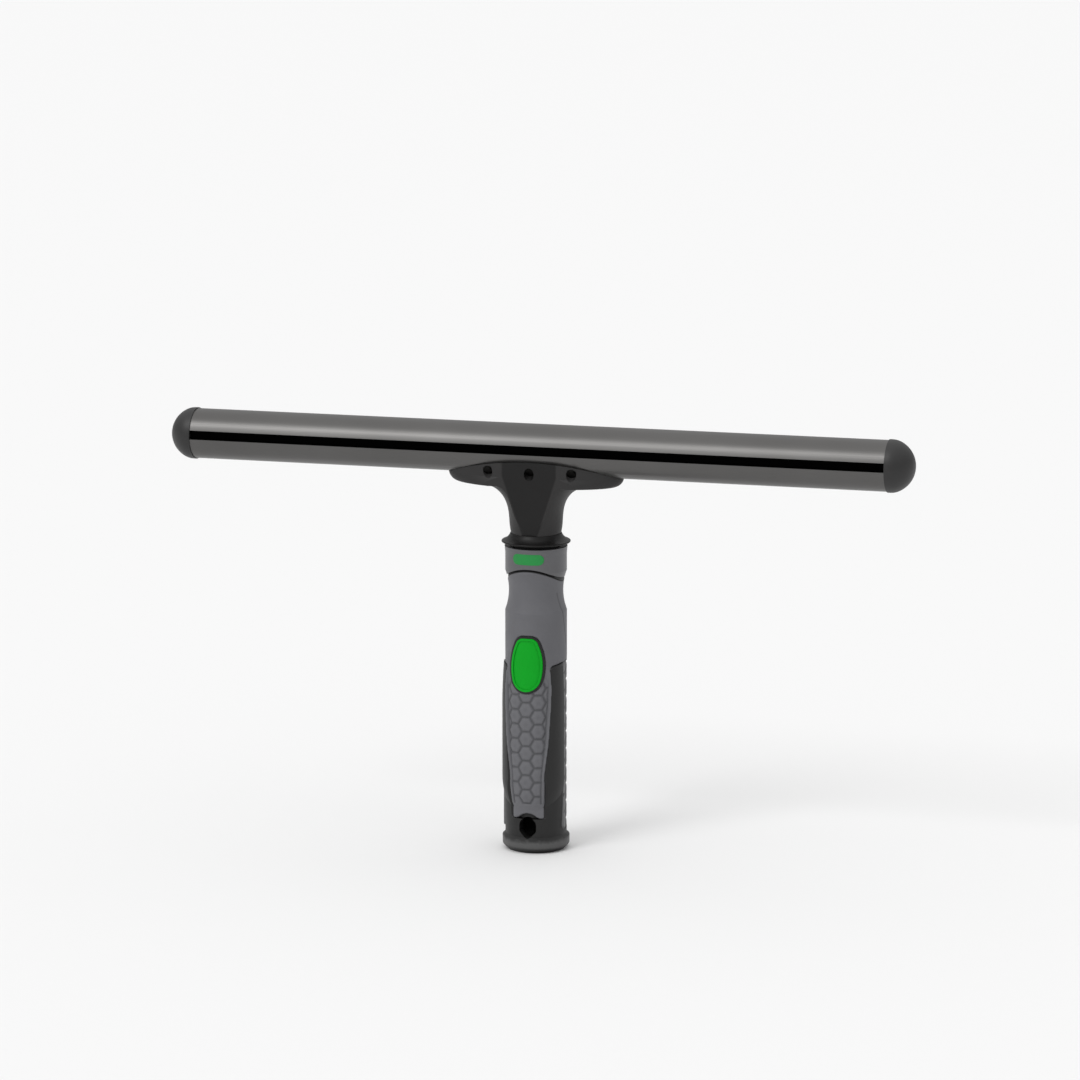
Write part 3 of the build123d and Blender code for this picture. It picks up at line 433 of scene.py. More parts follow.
def front_region(angle, height, sizes):
    """Depth inside the front grip's outline, and how far its tongue's side edges stand up.

    The tongue runs down to two horns, and above the belly's foot its edges lap over the panels.
    """
    radius = skin_radius(angle, height, sizes)
    across, depth = radius * np.sin(angle), -radius * np.cos(angle)
    edge_depth = np.interp(
        height,
        (sizes.tongue_narrow_height, sizes.belly_full_bottom, sizes.tongue_wide_height),
        (-sizes.tongue_foot_depth, -sizes.tongue_middle_depth, -sizes.tongue_wide_depth),
    )
    tongue = (angle_at_depth(edge_depth, height, sizes) - np.abs(angle)) * radius
    tongue += sizes.lap * smoothstep(height, sizes.belly_full_bottom, sizes.lap_full)
    limit = np.interp(
        height,
        (sizes.tongue_narrow_height, sizes.belly_full_bottom, sizes.lap_full),
        (sizes.foot_half_width, sizes.middle_half_width, BODY_RADIUS),
    )
    tongue = np.minimum(tongue, (limit - np.abs(across)) / np.clip(np.cos(angle), 0.5, 1))
    sleeve = height - step_height(depth, sizes)
    arch = np.hypot(across, height - sizes.catch_center) - sizes.arch_radius
    foot = shared(height - sizes.tongue_bottom, arch, sizes.horn_rounding)
    region = shared(joined(tongue, sleeve, sizes.corner_rounding), foot, sizes.horn_rounding)
    button = np.where(depth < 0, beside_bezel(across, height), np.inf)
    rise = 1 - smoothstep(tongue, sizes.lap, sizes.lap + sizes.lap_run)
    rise *= 1 - smoothstep(sleeve, -sizes.lap_end, 0)
    rise *= smoothstep(height, sizes.belly_full_bottom, sizes.lap_full)
    return np.minimum(region, button), rise * sizes.lap_rise


def rear_region(angle, height, sizes):
    """Depth inside the rear grip's outline, and how far its side edges stand up."""
    radius = skin_radius(angle, height, sizes)
    edge = angle_at_depth(np.full_like(height, -sizes.rear_depth), height, sizes)
    side = (np.abs(angle) - edge) * radius + sizes.rear_lap
    pad = shared(side, height - REAR_FOOT, sizes.corner_rounding)
    below = step_height(-radius * np.cos(angle), sizes) - height
    rise = 1 - smoothstep(side, sizes.rear_lap, sizes.rear_lap + sizes.rear_lap_run)
    rise *= smoothstep(below, 0, sizes.rear_lap_end)
    return np.minimum(pad, below), rise * sizes.lap_rise


# Mesh of the grips

# Points nearer to the outline than this share of the grid are drawn onto it. The squared slope
# of the depth counts as at least the second number, which limits how far they move.
SNAP_SHARE, LEAST_SLOPE = 0.3, 0.3


def grip_grid(low, high, sleeve, sizes):
    """Turns and heights of a grid of points around the handle, row by row from the foot.

    Above the waist's foot a sleeve's rows close up to the seam, and a lip goes on under the
    collar.
    """
    grid = sizes.grid
    columns = int(2 * math.pi * BODY_RADIUS / grid)
    turns = np.arange(columns) * (2 * math.pi / columns) - math.pi
    rows = np.arange(low.z - grid, min(high.z + 2 * grid, sizes.waist_low), grid)
    height = np.repeat(rows[:, None], columns, 1)
    if sleeve:
        seam = seam_height(turns, sizes)
        shares = np.arange(0, 1, grid / (sizes.seam_peak - sizes.waist_low))[:, None]
        upper = sizes.waist_low + shares * (seam - sizes.waist_low)
        height = np.concatenate((height, upper, [seam, seam, seam + sizes.lip_height]))
    return np.repeat(turns[None, :], len(height), 0), height


def clipped(quads, inside):
    """Faces of a grid within a border, and the pairs of points between which it cuts them."""
    faces, cuts = [], {}
    for quad in quads.tolist():
        face = []
        for corner, after in zip(quad, quad[1:] + quad[:1]):
            if inside[corner] >= 0:
                face.append(corner)
            if inside[corner] * inside[after] < 0:
                pair = (min(corner, after), max(corner, after))
                face.append(cuts.setdefault(pair, len(inside) + len(cuts)))
        if len(face) > 2:
            faces.append(face)
    return faces, np.array(list(cuts))


def cut_to_outline(angle, height, region, sleeve, sizes):
    """Faces of the grid that lie inside the outline, and what is known of their points.

    For each point that is its turn, its height, its depth inside the outline, and whether it
    belongs to the lip under the collar. Faces across the outline are cut along it.
    """
    rows, columns = height.shape
    inside = region(angle, height, sizes)[0]
    slope_turn = (np.roll(inside, -1, 1) - np.roll(inside, 1, 1)) / (2 * sizes.grid)
    slope_rise = np.gradient(inside, sizes.grid, axis=0)
    if sleeve:
        inside[-3:] = sizes.lip_height
    near = np.abs(inside) < SNAP_SHARE * sizes.grid
    slope = np.clip(slope_turn ** 2 + slope_rise ** 2, LEAST_SLOPE, None)
    pull = np.where(near, -inside, 0) / slope
    angle = (angle + pull * slope_turn * (2 * math.pi / columns) / sizes.grid).ravel()
    height = (height + pull * slope_rise).ravel()
    inside = np.where(near, 0, inside).ravel()

    start = np.arange(rows - 1)[:, None] * columns + np.arange(columns)
    beside = np.arange(rows - 1)[:, None] * columns + (np.arange(columns) + 1) % columns
    quads = np.stack((start, beside, beside + columns, start + columns), -1).reshape(-1, 4)
    reached = (inside[quads] > 0).any(1)
    whole = (inside[quads] >= 0).all(1) & reached
    faces, cuts = clipped(quads[~whole & reached], inside)
    faces += quads[whole].tolist()

    first, second = cuts[:, 0], cuts[:, 1]
    share = inside[first] / (inside[first] - inside[second])
    swing = (angle[second] - angle[first] + math.pi) % (2 * math.pi) - math.pi
    angle = np.append(angle, angle[first] + swing * share)
    height = np.append(height, height[first] + (height[second] - height[first]) * share)
    inside = np.append(inside, np.zeros(len(cuts)))
    used, numbers = np.unique(np.concatenate(faces), return_inverse=True)
    ends = np.cumsum([len(face) for face in faces])[:-1]
    faces = [part.tolist() for part in np.split(numbers, ends)]
    lip = (used >= (rows - 2) * columns) & (used < rows * columns) & sleeve
    return faces, angle[used], height[used], inside[used], lip


def closed_sheet(name, faces, outer, inner):
    """A solid between two like sheets of points, with a wall along every free edge."""
    count = len(outer)
    sides = np.array([(a, b) for face in faces for a, b in zip(face, face[1:] + face[:1])])
    ahead, back = sides[:, 0] * count + sides[:, 1], sides[:, 1] * count + sides[:, 0]
    walls = [(b, a, a + count, b + count) for a, b in sides[~np.isin(ahead, back)].tolist()]
    lining = [[corner + count for corner in reversed(face)] for face in faces]
    mesh = bpy.data.meshes.new(name)
    mesh.from_pydata(np.concatenate((outer, inner)).tolist(), [], faces + lining + walls)
    mesh.polygons.foreach_set("use_smooth", [True] * len(mesh.polygons))
    return mesh


# Relief of the grips

FIELD_RUN = 0.7 * MM  # width over which the cells' relief begins inside the smooth border
CELLS_TOP_RUN, CELLS_LOW_RUN = 3 * MM, 0.8 * MM  # heights over which it ends
FAR_AWAY = 1.0  # distance to the bezel from any point of the handle's back
# Along the bezel the smooth border is this narrow. It reaches its full width where the bezel is
# farther off than the grip's own edge, and widens as the difference grows over the range.
BEZEL_BORDER, BEZEL_RUN = 0.8 * MM, (0.5 * MM, 1.5 * MM)
# The groove beside the border is this much narrower than the cells' and runs out at the bezel
EDGE_GROOVE_LESS, EDGE_GROOVE_AWAY = 0.25 * MM, 2 * MM
# A groove is full this near to a cell's edge and ends at this share of the groove width
GROOVE_FLOOR, GROOVE_RIM = 0.1 * MM, 0.75
# The dish begins and is full at these shares of the pitch in from a cell's edge
DISH_EDGE, DISH_FLOOR = 0.25, 0.46
# A fine crease runs down each side of the upper sleeve: its heights, and its turns from the front
CREASE_HEIGHTS = (125 * MM, 156 * MM)
CREASE_TURNS = (math.radians(90), math.radians(66))
CREASE_WIDTH, CREASE_DEPTH = (0.1 * MM, 0.7 * MM), 0.3 * MM
# How dark each place is painted, and where it reaches: painted shade in the grooves, dishes,
# crease and lip, and a plain darkening up the sleeve
GROOVE_SHADE, DISH_SHADE, CREASE_SHADE, SLEEVE_DARKENING = 0.5, 0.12, 0.45, 0.1
# The upper sleeve is a little darker above these heights
SLEEVE_DARKENING_HEIGHTS = (100 * MM, 125 * MM)
SEAM_SHADE_WIDTH = (0.2 * MM, 0.7 * MM)


def cell_edge_distance(across, up, pitch):
    """Distance in from the edge of the hexagon cell that each point lies in."""
    column = pitch * math.sqrt(3) / 2
    best = np.full_like(across, np.inf)
    for shift_across, shift_up in ((0, 0), (column, pitch / 2)):
        side = across - shift_across
        rise = up - shift_up
        side = np.abs(side - np.round(side / (2 * column)) * 2 * column)
        rise = np.abs(rise - np.round(rise / pitch) * pitch)
        best = np.minimum(best, np.maximum(rise, side * math.sqrt(3) / 2 + rise / 2))
    return pitch / 2 - best


def front_cells(angle, height, radius, inside, sizes):
    """Distance in from the front cells' edges, and the share of relief that each point has.

    The smooth border runs down the tongue's sides, and the cells reach the bezel.
    """
    around = np.arctan2(radius * np.sin(angle), radius * np.cos(angle) - sizes.belly_depth)
    cell = cell_edge_distance(around * BODY_RADIUS, height - sizes.front_phase, sizes.front_pitch)
    bezel = np.where(np.cos(angle) > 0, beside_bezel(radius * np.sin(angle), height), FAR_AWAY)
    at_side = smoothstep(bezel - inside, *BEZEL_RUN)
    border = BEZEL_BORDER + (sizes.front_border - BEZEL_BORDER) * at_side
    edge_groove = np.abs(inside - border) + EDGE_GROOVE_LESS + EDGE_GROOVE_AWAY * (1 - at_side)
    field = smoothstep(inside, border - FIELD_RUN, border)
    field *= 1 - smoothstep(height, sizes.cells_top - CELLS_TOP_RUN, sizes.cells_top)
    field *= smoothstep(height, sizes.cells_low - CELLS_LOW_RUN, sizes.cells_low)
    return np.minimum(cell, edge_groove), field


def rear_cells(angle, height, radius, inside, sizes):
    """The same two for the rear grip, whose cells fill it up to a smooth border."""
    around = np.arctan2(np.sin(angle), -np.cos(angle)) * sizes.rear_squeeze
    cell = cell_edge_distance(around * BODY_RADIUS, height - sizes.rear_phase, sizes.rear_pitch)
    return cell, smoothstep(inside, sizes.rear_border - FIELD_RUN, sizes.rear_border)


def crease_share(angle, height, radius):
    """1 in the crease on each side of the upper sleeve, and 0 away from it."""
    distance = np.hypot(
        (np.abs(angle) - np.interp(height, CREASE_HEIGHTS, CREASE_TURNS)) * radius,
        height - np.clip(height, *CREASE_HEIGHTS),
    )
    return 1 - smoothstep(distance, *CREASE_WIDTH)


def make_grip(name, node, region, cells, pitch, relief_share, sizes):
    """Soft grip with dished hexagon cells, and a layer that tells how dark each point is painted.
    """
    low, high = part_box(node)
    sleeve = high.z > sizes.waist_low
    angle, height = grip_grid(low, high, sleeve, sizes)
    faces, angle, height, inside, lip = cut_to_outline(angle, height, region, sleeve, sizes)
    if sleeve:
        below_seam = seam_height(angle, sizes) - height
        inside = np.minimum(inside, np.abs(below_seam))

    radius = skin_radius(angle, height, sizes) + region(angle, height, sizes)[1]
    cell, field = cells(angle, height, radius, inside, sizes)
    groove = (1 - smoothstep(cell, GROOVE_FLOOR, sizes.groove_width * GROOVE_RIM)) * field
    crown = (1 - smoothstep(cell, 0, pitch / 2)) * field
    dish = smoothstep(cell, DISH_EDGE * pitch, DISH_FLOOR * pitch) * field
    sunk = np.clip(1 - inside / sizes.edge_rounding, 0, 1)
    fall = sizes.edge_rounding * (1 - np.sqrt(1 - sunk ** 2))
    skin = radius - fall - relief_share * (sizes.groove_depth * groove + sizes.pillow * crown)
    skin -= sizes.dish * dish
    # Painted shade in the grooves, the cells' dishes, the crease and the lip under the collar
    shade_and_darkening = GROOVE_SHADE * groove + DISH_SHADE * dish
    # The upper sleeve is made a little darker from 100 mm up
    shade_and_darkening = np.maximum(shade_and_darkening, SLEEVE_DARKENING * smoothstep(height, *SLEEVE_DARKENING_HEIGHTS))
    if sleeve:
        crease = crease_share(angle, height, radius)
        skin = np.where(lip, sizes.lip_radius, skin - CREASE_DEPTH * crease)
        seam_shade = np.where(lip, 1, 1 - smoothstep(below_seam, *SEAM_SHADE_WIDTH))
        shade_and_darkening = np.maximum(shade_and_darkening, np.maximum(CREASE_SHADE * crease, seam_shade))
    lining = np.where(height > sizes.head_start, sizes.head_radius, radius - sizes.thickness)

    way = np.stack((np.sin(angle), -np.cos(angle)))
    outer = np.stack((*way * skin, height), -1)
    inner = np.stack((*way * lining, height), -1)
    mesh = closed_sheet(name, faces, outer, inner)
    layer = mesh.attributes.new(SHADE_AND_DARKENING_LAYER, "FLOAT", "POINT")
    layer.data.foreach_set("value", np.append(shade_and_darkening, 0 * shade_and_darkening).astype(np.float32))
    mesh.update()
    grip = bpy.data.objects.new(name, mesh)
    bpy.context.scene.collection.objects.link(grip)
    return grip


# Settings


def length(name, description, default):
    """A length that a user can change."""
    return bpy.props.FloatProperty(
        name=name,
        description=description,
        default=default,
        min=0.0,
        unit="LENGTH",
        subtype="DISTANCE",
    )


def turn(name, description, degrees):
    """An angle that a user can change."""
    return bpy.props.FloatProperty(
        name=name,
        description=description,
        default=math.radians(degrees),
        unit="ROTATION",
        subtype="ANGLE",
    )


def number(name, description, default, low=0.0, high=2.0):
    """A plain number that a user can change."""
    return bpy.props.FloatProperty(
        name=name, description=description, default=default, min=low, max=high, subtype="FACTOR"
    )


def tone(name, description, code):
    """A colour that a user can change, given as an sRGB hex code."""
    return bpy.props.FloatVectorProperty(
        name=name,
        description=description,
        default=linear(code),
        size=4,
        min=0.0,
        max=1.0,
        subtype="COLOR",
    )


class ScrubberGripSizes(bpy.types.PropertyGroup):
    grid: length("Grid", "Mesh step of the soft grips", 0.48 * MM)
    thickness: length("Thickness", "Thickness of the soft grips", 1.9 * MM)
    front_pitch: length("Front cell pitch", "Height of a hexagon cell on the tongue", 8.77 * MM)
    front_phase: length("Front cell place", "Height of a cell's middle, front", 35.1 * MM)
    front_border: length("Front border", "Width of the tongue's smooth border", 2.1 * MM)
    cells_low: length("Cells from", "Height where the tongue's cells begin", 30.7 * MM)
    cells_top: length("Cells to", "Height where the tongue's cells end", 108.0 * MM)
    rear_pitch: length("Rear cell pitch", "Height of a hexagon cell on the back", 10.57 * MM)
    rear_phase: length("Rear cell place", "Height of a cell's middle, rear", 18.0 * MM)
    rear_border: length("Rear border", "Width of the rear grip's smooth border", 1.2 * MM)
    rear_squeeze: number("Rear squeeze", "Narrowness of the rear cells, 1 when regular", 1.16)
    rear_relief: number("Rear relief", "Depth of the rear cells' relief, as a share", 0.7)
    groove_width: length("Groove width", "Width of the grooves between cells", 1.7 * MM)
    groove_depth: length("Groove depth", "Depth of the grooves between cells", 0.55 * MM)
    pillow: length("Cell crown", "How far the cells' middles stand above their edges", 0.35 * MM)
    dish: length("Cell dish", "Depth of the dish in each cell's middle", 0.15 * MM)
    lap: length("Lap", "How far the tongue's edges lap over the side panels", 0.9 * MM)
    lap_rise: length("Lap rise", "How far those edges stand up", 0.95 * MM)
    lap_run: length("Lap run", "Width over which they fall back to the skin", 1.4 * MM)
    lap_end: length("Lap end", "Height over which they end below the joint", 4.0 * MM)
    lap_full: length("Lap full from", "Height above which the lap is full", 72.0 * MM)
    rear_lap: length("Rear lap", "How far the rear grip laps over the side panels", 1.4 * MM)
    rear_lap_run: length("Rear lap run", "Width over which it falls back", 3.0 * MM)
    rear_lap_end: length("Rear lap end", "Height over which it ends below the joint", 3.0 * MM)
    foot_half_width: length("Foot half width", "Half the tongue's width at its foot", 10.0 * MM)
    middle_half_width: length("Middle half width", "The same, belly full", 11.1 * MM)
    edge_rounding: length("Edge rounding", "Radius on the grips' outer edges", 0.7 * MM)
    waist_radius: length("Waist radius", "Radius at the narrowest part", 16.1 * MM)
    waist_low: length("Waist foot", "Height where the waist begins", 144.5 * MM)
    waist_middle: length("Waist middle", "Height of the narrowest part", 156.5 * MM)
    waist_top: length("Waist top", "Height where the waist ends", 168.5 * MM)
    belly_depth: length("Belly depth", "How far the front stands out", 3.8 * MM)
    belly_bury: length("Belly bury", "How far the belly's ends sink below the body", 0.6 * MM)
    belly_bottom: length("Belly bottom", "Height where the belly begins", 25.0 * MM)
    belly_full_bottom: length("Belly full from", "Height where it reaches its depth", 45.0 * MM)
    belly_full_top: length("Belly full to", "Height where it starts to fall back", 88.0 * MM)
    belly_top: length("Belly top", "Height where the belly ends", 142.0 * MM)
    belly_blend: length("Belly blend", "Softness of the belly's side edges", 0.8 * MM)
    tongue_bottom: length("Tongue foot", "Height of the tongue's two horns", 21.0 * MM)
    tongue_narrow_height: length("Tongue narrow to", "Its sides are upright below", 27.0 * MM)
    tongue_wide_height: length("Tongue wide from", "Its sides are upright above", 100.0 * MM)
    tongue_foot_depth: length("Foot edge", "Its edge forward of the axis, foot", 15.45 * MM)
    tongue_middle_depth: length("Middle edge", "The same where the belly is full", 18.65 * MM)
    tongue_wide_depth: length("Wide edge", "The same beside the button", 16.04 * MM)
    arch_radius: length("Arch radius", "Arch of the tongue over the catch hole", 7.6 * MM)
    catch_center: length("Catch centre", "Height of the arch's centre", 16.8 * MM)
    horn_rounding: length("Horn rounding", "Radius on the tongue's two horns", 1.6 * MM)
    corner_rounding: length("Corner rounding", "Radius where tongue and sleeve meet", 3.0 * MM)
    step_front: length("Joint front", "Height of the sleeve's joint at the front", 113.0 * MM)
    step_climb: length("Joint climb", "How far the joint rises to the back", 6.0 * MM)
    step_run: length("Joint run", "Depth over which it rises", 57.64 * MM)
    rear_depth: length("Rear edge depth", "Rear grip's edge forward of the axis", 4.43 * MM)
    seam_peak: length("Seam peak", "Height of the seam below the collar", 170.2 * MM)
    seam_drop: length("Seam drop", "How far the seam falls to its ends", 7.4 * MM)
    lip_radius: length("Lip radius", "Radius of the lip under the collar", 16.5 * MM)
    lip_height: length("Lip height", "How far the lip goes up under the collar", 3.0 * MM)
    head_start: length("Head start", "Height where the core widens", 159.5 * MM)
    head_radius: length("Head radius", "Radius of the core under the collar", 15.45 * MM)


class ScrubberColours(bpy.types.PropertyGroup):
    tube_dark: tone("Tube, dark", "Etched tube, darker patches", "#585756")
    tube_light: tone("Tube, light", "Etched tube, lighter patches", "#61605F")
    # Painted shade: the channel's colour stands in for the shade of its depth
    tube_channel_shade: tone("Channel", "Painted shade in the channel along the tube", "#030303")
    cap_dark: tone("Caps, dark", "End caps, darker patches", "#1B1B1B")
    cap_light: tone("Caps, light", "End caps, lighter patches", "#222121")
    neck_dark: tone("Neck, dark", "Neck and saddle, darker patches", "#252424")
    neck_light: tone("Neck, light", "Neck and saddle, lighter patches", "#2D2C2C")
    # Painted shade: the V-shaped face's colours are darker than the neck's
    neck_face_shade_dark: tone("Neck face, dark", "V-shaped face, darker patches", "#0C0B0B")
    neck_face_shade_light: tone("Neck face, light", "V-shaped face, lighter patches", "#121111")
    skirt_dark: tone("Skirt, dark", "Drip skirt, darker patches", "#0E0D0D")
    skirt_light: tone("Skirt, light", "Drip skirt, lighter patches", "#141313")
    core_dark: tone("Core, dark", "Handle core, darker patches", "#1A1A1A")
    core_light: tone("Core, light", "Handle core, lighter patches", "#212121")
    # Painted highlight on the foot ring
    core_foot_highlight: tone("Core, foot highlight", "Painted highlight on the foot ring", "#5C5C5C")
    # Painted shade in the core's inward corners
    core_crevice_shade: tone("Core, crevice shade", "Inward corners beside the grips", "#040404")
    bezel_dark: tone("Bezel, dark", "Ring around the button, darker patches", "#050505")
    bezel_light: tone("Bezel, light", "Ring around the button, lighter patches", "#0A0A0A")
    collar_dark: tone("Collar, dark", "Collar, darker patches", "#525254")
    collar_light: tone("Collar, light", "Collar, lighter patches", "#5C5C5F")
    front_dark: tone("Front grip, dark", "Front grip, darker patches", "#5C5C60")
    front_light: tone("Front grip, light", "Front grip, lighter patches", "#646468")
    # Painted shade in the front grip's grooves, dishes, crease and lip
    front_groove_shade: tone("Front grooves", "Painted shade in the front grip's grooves", "#141415")
    rear_dark: tone("Rear grip, dark", "Rear grip, darker patches", "#5A5A5B")
    rear_light: tone("Rear grip, light", "Rear grip, lighter patches", "#636364")
    # Painted shade in the rear grip's grooves and dishes
    rear_groove_shade: tone("Rear grooves", "Painted shade in the rear grip's grooves", "#141414")
    button_dark: tone("Button, dark", "Release button, darker patches", "#00961B")
    button_light: tone("Button, light", "Release button, lighter patches", "#009F20")
    inlay_dark: tone("Inlay, dark", "Inlay of the collar, darker patches", "#007A30")
    inlay_light: tone("Inlay, light", "Inlay of the collar, lighter patches", "#028637")
    floor: tone("Floor", "Pale paper that the tool stands on", "#E9E9E9")


class ScrubberStudio(bpy.types.PropertyGroup):
    azimuth: turn("Camera azimuth", "Turn of the camera from the front towards +X", 16.38)
    elevation: turn("Camera elevation", "Height of the camera above level", 9.353)
    distance: length("Camera distance", "From the bar's centre to the camera", 2.761)
    lens: bpy.props.FloatProperty(
        name="Lens",
        description="Focal length on a 36 mm sensor, in mm",
        default=156.32,
        subtype="DISTANCE_CAMERA",
    )
    shift_x: number("Shift X", "Sideways framing shift", 0.0036, low=-1.0)
    shift_y: number("Shift Y", "Upward framing shift", -0.0842, low=-1.0)
    floor_reach: length("Floor reach", "From the floor's middle to its sides", 20.0)
    fill_low: number("Fill below", "Strength of the light from straight below", 0.35)
    fill_high: number("Fill above", "Strength of the light from straight above", 1.25)
    key_strength: number("Key strength", "Strength of the key light", 1.0)
    key_spread: turn("Key spread", "Angular width of the key light", 25)
    key_place: bpy.props.FloatVectorProperty(
        name="Key place",
        description="The key light shines from here to the bar's centre",
        default=(-1.2, -2.2, 2.6),
        unit="LENGTH",
        subtype="TRANSLATION",
    )


# Operators


class SCRUBBER_OT_bar(bpy.types.Operator):
    """Finish the tube bar and its end caps"""

    bl_idname = "scrubber.bar"
    bl_label = "Bar and caps"

    def execute(self, context):
        tones = context.scene.scrubber_colours
        dress("bar_tube", anodised_tube(tones))
        caps = moulded_plastic("abs_black_moulded", tones.cap_dark, tones.cap_light, 0.5)
        for side in ("end_cap_left", "end_cap_right"):
            dress(side, caps)
        return {"FINISHED"}


class SCRUBBER_OT_neck(bpy.types.Operator):
    """Finish the neck with its saddle, and the drip skirt"""

    bl_idname = "scrubber.neck"
    bl_label = "Neck and skirt"

    def execute(self, context):
        tones = context.scene.scrubber_colours
        dress("neck_saddle", neck_nylon(tones))
        skirt = moulded_plastic(
            "nylon_black_moulded", tones.skirt_dark, tones.skirt_light, 0.42, ior=1.3
        )
        dress("drip_skirt", skirt)
        return {"FINISHED"}


class SCRUBBER_OT_core(bpy.types.Operator):
    """Finish the hard core, the collar and the button's bezel"""

    bl_idname = "scrubber.core"
    bl_label = "Core and collar"

    def execute(self, context):
        tones = context.scene.scrubber_colours
        black = core_polypropylene(tones)
        dress("handle_core", black)
        dress("socket_stop", black)
        bezel = moulded_plastic("abs_black_bezel", tones.bezel_dark, tones.bezel_light, 0.45)
        dress("button_bezel", bezel)
        collar = moulded_plastic("abs_grey_moulded", tones.collar_dark, tones.collar_light, 0.42)
        dress("collar", collar)
        return {"FINISHED"}


class SCRUBBER_OT_grips(bpy.types.Operator):
    """Build the soft front and rear grips with their hexagon cells"""

    bl_idname = "scrubber.grips"
    bl_label = "Soft grips"

    def execute(self, context):
        sizes = context.scene.scrubber_grip
        tones = context.scene.scrubber_colours
        front = make_grip(
            "front_grip_cells",
            "front_grip",
            front_region,
            front_cells,
            sizes.front_pitch,
            1.0,
            sizes,
        )
        rear = make_grip(
            "rear_grip_cells",
            "rear_grip",
            rear_region,
            rear_cells,
            sizes.rear_pitch,
            sizes.rear_relief,
            sizes,
        )
        front_rubber = soft_grip(
            "rubber_grey_overmoulded", tones.front_dark, tones.front_light, tones.front_groove_shade
        )
        rear_rubber = soft_grip(
            "rubber_dark_overmoulded", tones.rear_dark, tones.rear_light, tones.rear_groove_shade
        )
        for grip, node, slot, rubber in (
            (front, "front_grip", "grip_grey", front_rubber),
            (rear, "rear_grip", "rear_grip_grey", rear_rubber),
        ):
            grip.data.materials.append(rubber)
            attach(grip, "handle")
            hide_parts(node)
        return {"FINISHED"}


class SCRUBBER_OT_button(bpy.types.Operator):
    """Finish the release button and the collar's inlay"""

    bl_idname = "scrubber.button"
    bl_label = "Button and inlay"

    def execute(self, context):
        tones = context.scene.scrubber_colours
        button = moulded_plastic(
            "abs_green_button", tones.button_dark, tones.button_light, 0.5, ior=1.25
        )
        dress("lock_button", button)
        inlay = moulded_plastic("abs_green_inlay", tones.inlay_dark, tones.inlay_light, 0.3)
        dress("badge_inlay", inlay)
        return {"FINISHED"}


class SCRUBBER_OT_hardware(bpy.types.Operator):
    """Finish the steel parts, bushes and seal inside the swivel"""

    bl_idname = "scrubber.hardware"
    bl_label = "Hardware"

    def execute(self, context):
        steel = turned_steel()
        dress("saddle_screws", blackened_steel())
        for node in (
            "index_ring",
            "retaining_washer",
            "retaining_screw",
            "lock_spring",
            "lock_spring_screw",
            "button_spring",
        ):
            dress(node, steel)
        bush = moulded_plastic("acetal_white_turned", linear("#D9D8D2"), linear("#E3E2DC"), 0.4)
        dress("lower_bush", bush)
        dress("upper_bush", bush)
        seal = moulded_plastic("epdm_black_seal", linear("#111111"), linear("#181818"), 0.7)
        dress("swivel_seal", seal)
        return {"FINISHED"}


def add_floor(tones, studio):
    """A plain sheet of matt, pale paper under the tool."""
    sheet = bmesh.new()
    bmesh.ops.create_grid(sheet, x_segments=1, y_segments=1, size=studio.floor_reach)
    mesh = bpy.data.meshes.new("studio_floor")
    sheet.to_mesh(mesh)
    sheet.free()
    floor = bpy.data.objects.new("studio_floor", mesh)
    bpy.context.scene.collection.objects.link(floor)
    paper = new_material("paper_pale")
    shader = add_node(
        paper, "ShaderNodeBsdfPrincipled", {"Base Color": tones.floor, "Roughness": 0.9}
    )
    add_node(paper, "ShaderNodeOutputMaterial", {"Surface": shader.outputs["BSDF"]})
    floor.data.materials.append(paper)


def add_fill_light(studio):
    """Soft light from all around, stronger from above; the camera sees plain white."""
    world = bpy.data.worlds.new("studio_world")
    world.use_nodes = True
    world.node_tree.nodes.clear()
    bpy.context.scene.world = world
    path = add_node(world, "ShaderNodeLightPath")
    way = add_node(world, "ShaderNodeTexCoord").outputs["Generated"]
    climb = add_node(world, "ShaderNodeSeparateXYZ", {"Vector": way}).outputs["Z"]
    dome = mapped(world, climb, (studio.fill_low, studio.fill_high))
    white = linear("#FFFFFF")
    fill = add_node(world, "ShaderNodeBackground", {"Color": white, "Strength": dome})
    seen = add_node(world, "ShaderNodeBackground", {"Color": white, "Strength": 1.0})
    mix = add_node(
        world,
        "ShaderNodeMixShader",
        {0: path.outputs["Is Camera Ray"], 1: fill.outputs[0], 2: seen.outputs[0]},
    )
    add_node(world, "ShaderNodeOutputWorld", {"Surface": mix.outputs[0]})


def add_key_light(studio):
    """A broad, even light from one side and above."""
    lamp = bpy.data.lights.new("key_light", "SUN")
    lamp.angle = studio.key_spread
    lamp.energy = studio.key_strength
    key = bpy.data.objects.new("key_light", lamp)
    bpy.context.scene.collection.objects.link(key)
    key.location = studio.key_place
    way = BAR_CENTER - Vector(studio.key_place)
    key.rotation_euler = way.to_track_quat("-Z", "Y").to_euler()


def add_camera(studio):
    """The camera of the reference view."""
    camera = bpy.data.cameras.new("photo_camera")
    camera.sensor_width = 36
    camera.lens = studio.lens
    camera.shift_x = studio.shift_x
    camera.shift_y = studio.shift_y
    camera.clip_end = 100
    view = bpy.data.objects.new("photo_camera", camera)
    bpy.context.scene.collection.objects.link(view)
    level = math.cos(studio.elevation)
    away = Vector(
        (
            math.sin(studio.azimuth) * level,
            -math.cos(studio.azimuth) * level,
            math.sin(studio.elevation),
        )
    )
    view.location = BAR_CENTER + away * studio.distance
    view.rotation_euler = (-away).to_track_quat("-Z", "Y").to_euler()
    return view


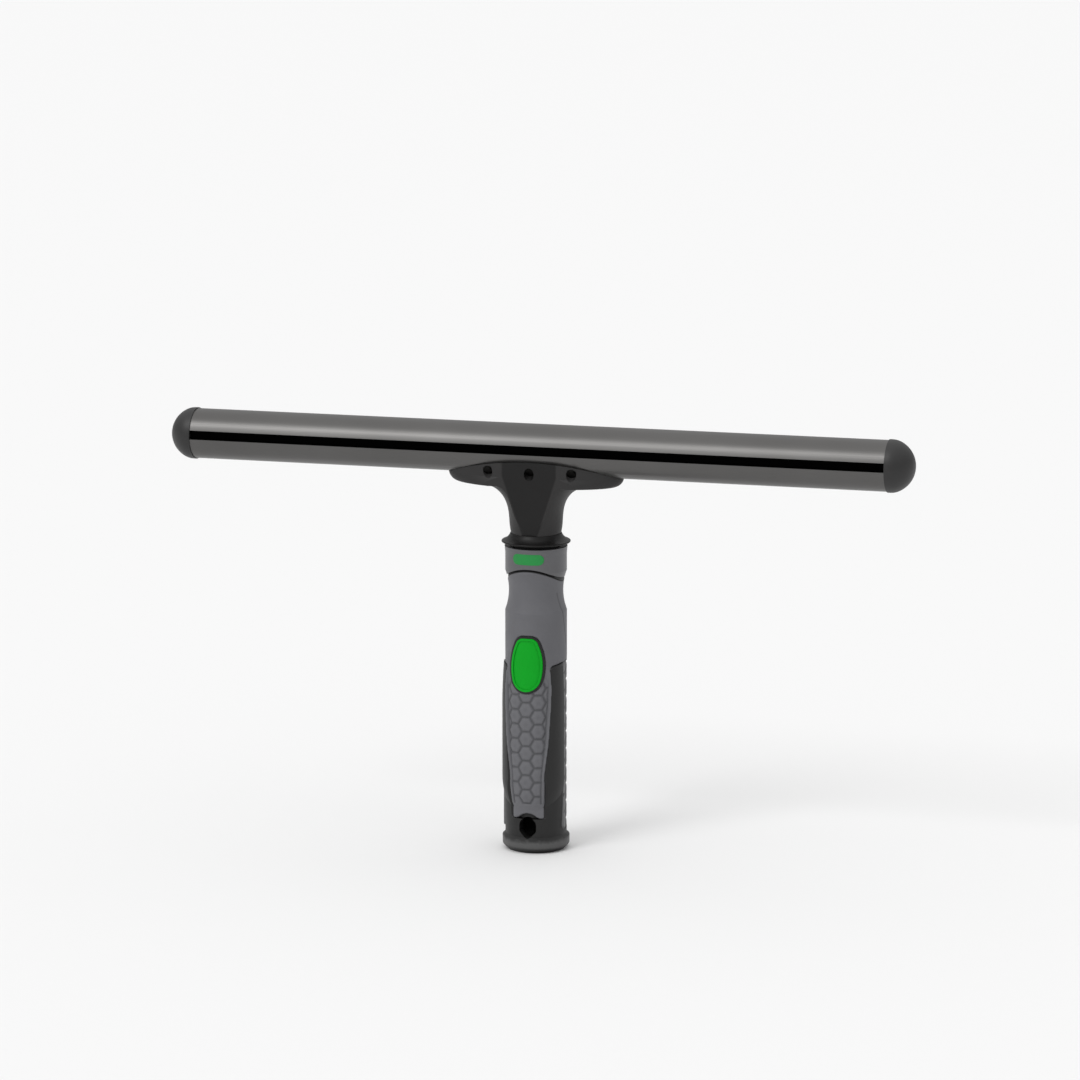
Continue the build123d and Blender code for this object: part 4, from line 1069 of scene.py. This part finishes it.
class SCRUBBER_OT_stage(bpy.types.Operator):
    """Set up the floor, the soft light and the camera"""

    bl_idname = "scrubber.stage"
    bl_label = "Studio"

    def execute(self, context):
        scene = context.scene
        scene.view_settings.view_transform = "Standard"
        add_floor(scene.scrubber_colours, scene.scrubber_studio)
        add_fill_light(scene.scrubber_studio)
        add_key_light(scene.scrubber_studio)
        scene.camera = add_camera(scene.scrubber_studio)
        return {"FINISHED"}


class SCRUBBER_PT_panel(bpy.types.Panel):
    """Buttons and settings in the sidebar"""

    bl_idname = "SCRUBBER_PT_panel"
    bl_label = "Window scrubber"
    bl_space_type = "VIEW_3D"
    bl_region_type = "UI"
    bl_category = "Scrubber"

    def draw(self, context):
        scene = context.scene
        column = self.layout.column()
        for operator in OPERATORS:
            column.operator(operator.bl_idname)
        for group in (scene.scrubber_grip, scene.scrubber_colours, scene.scrubber_studio):
            for name in group.__annotations__:
                column.prop(group, name)


OPERATORS = (
    SCRUBBER_OT_bar,
    SCRUBBER_OT_neck,
    SCRUBBER_OT_core,
    SCRUBBER_OT_grips,
    SCRUBBER_OT_button,
    SCRUBBER_OT_hardware,
    SCRUBBER_OT_stage,
)
GROUPS = (ScrubberGripSizes, ScrubberColours, ScrubberStudio)


def register():
    for group in (*GROUPS, *OPERATORS, SCRUBBER_PT_panel):
        bpy.utils.register_class(group)
    bpy.types.Scene.scrubber_grip = bpy.props.PointerProperty(type=ScrubberGripSizes)
    bpy.types.Scene.scrubber_colours = bpy.props.PointerProperty(type=ScrubberColours)
    bpy.types.Scene.scrubber_studio = bpy.props.PointerProperty(type=ScrubberStudio)


def unregister():
    del bpy.types.Scene.scrubber_studio
    del bpy.types.Scene.scrubber_colours
    del bpy.types.Scene.scrubber_grip
    for group in (SCRUBBER_PT_panel, *reversed(OPERATORS), *reversed(GROUPS)):
        bpy.utils.unregister_class(group)


def main():
    register()
    bpy.ops.scrubber.bar()
    bpy.ops.scrubber.neck()
    bpy.ops.scrubber.core()
    bpy.ops.scrubber.grips()
    bpy.ops.scrubber.button()
    bpy.ops.scrubber.hardware()
    bpy.ops.scrubber.stage()


if __name__ == "__main__":
    main()
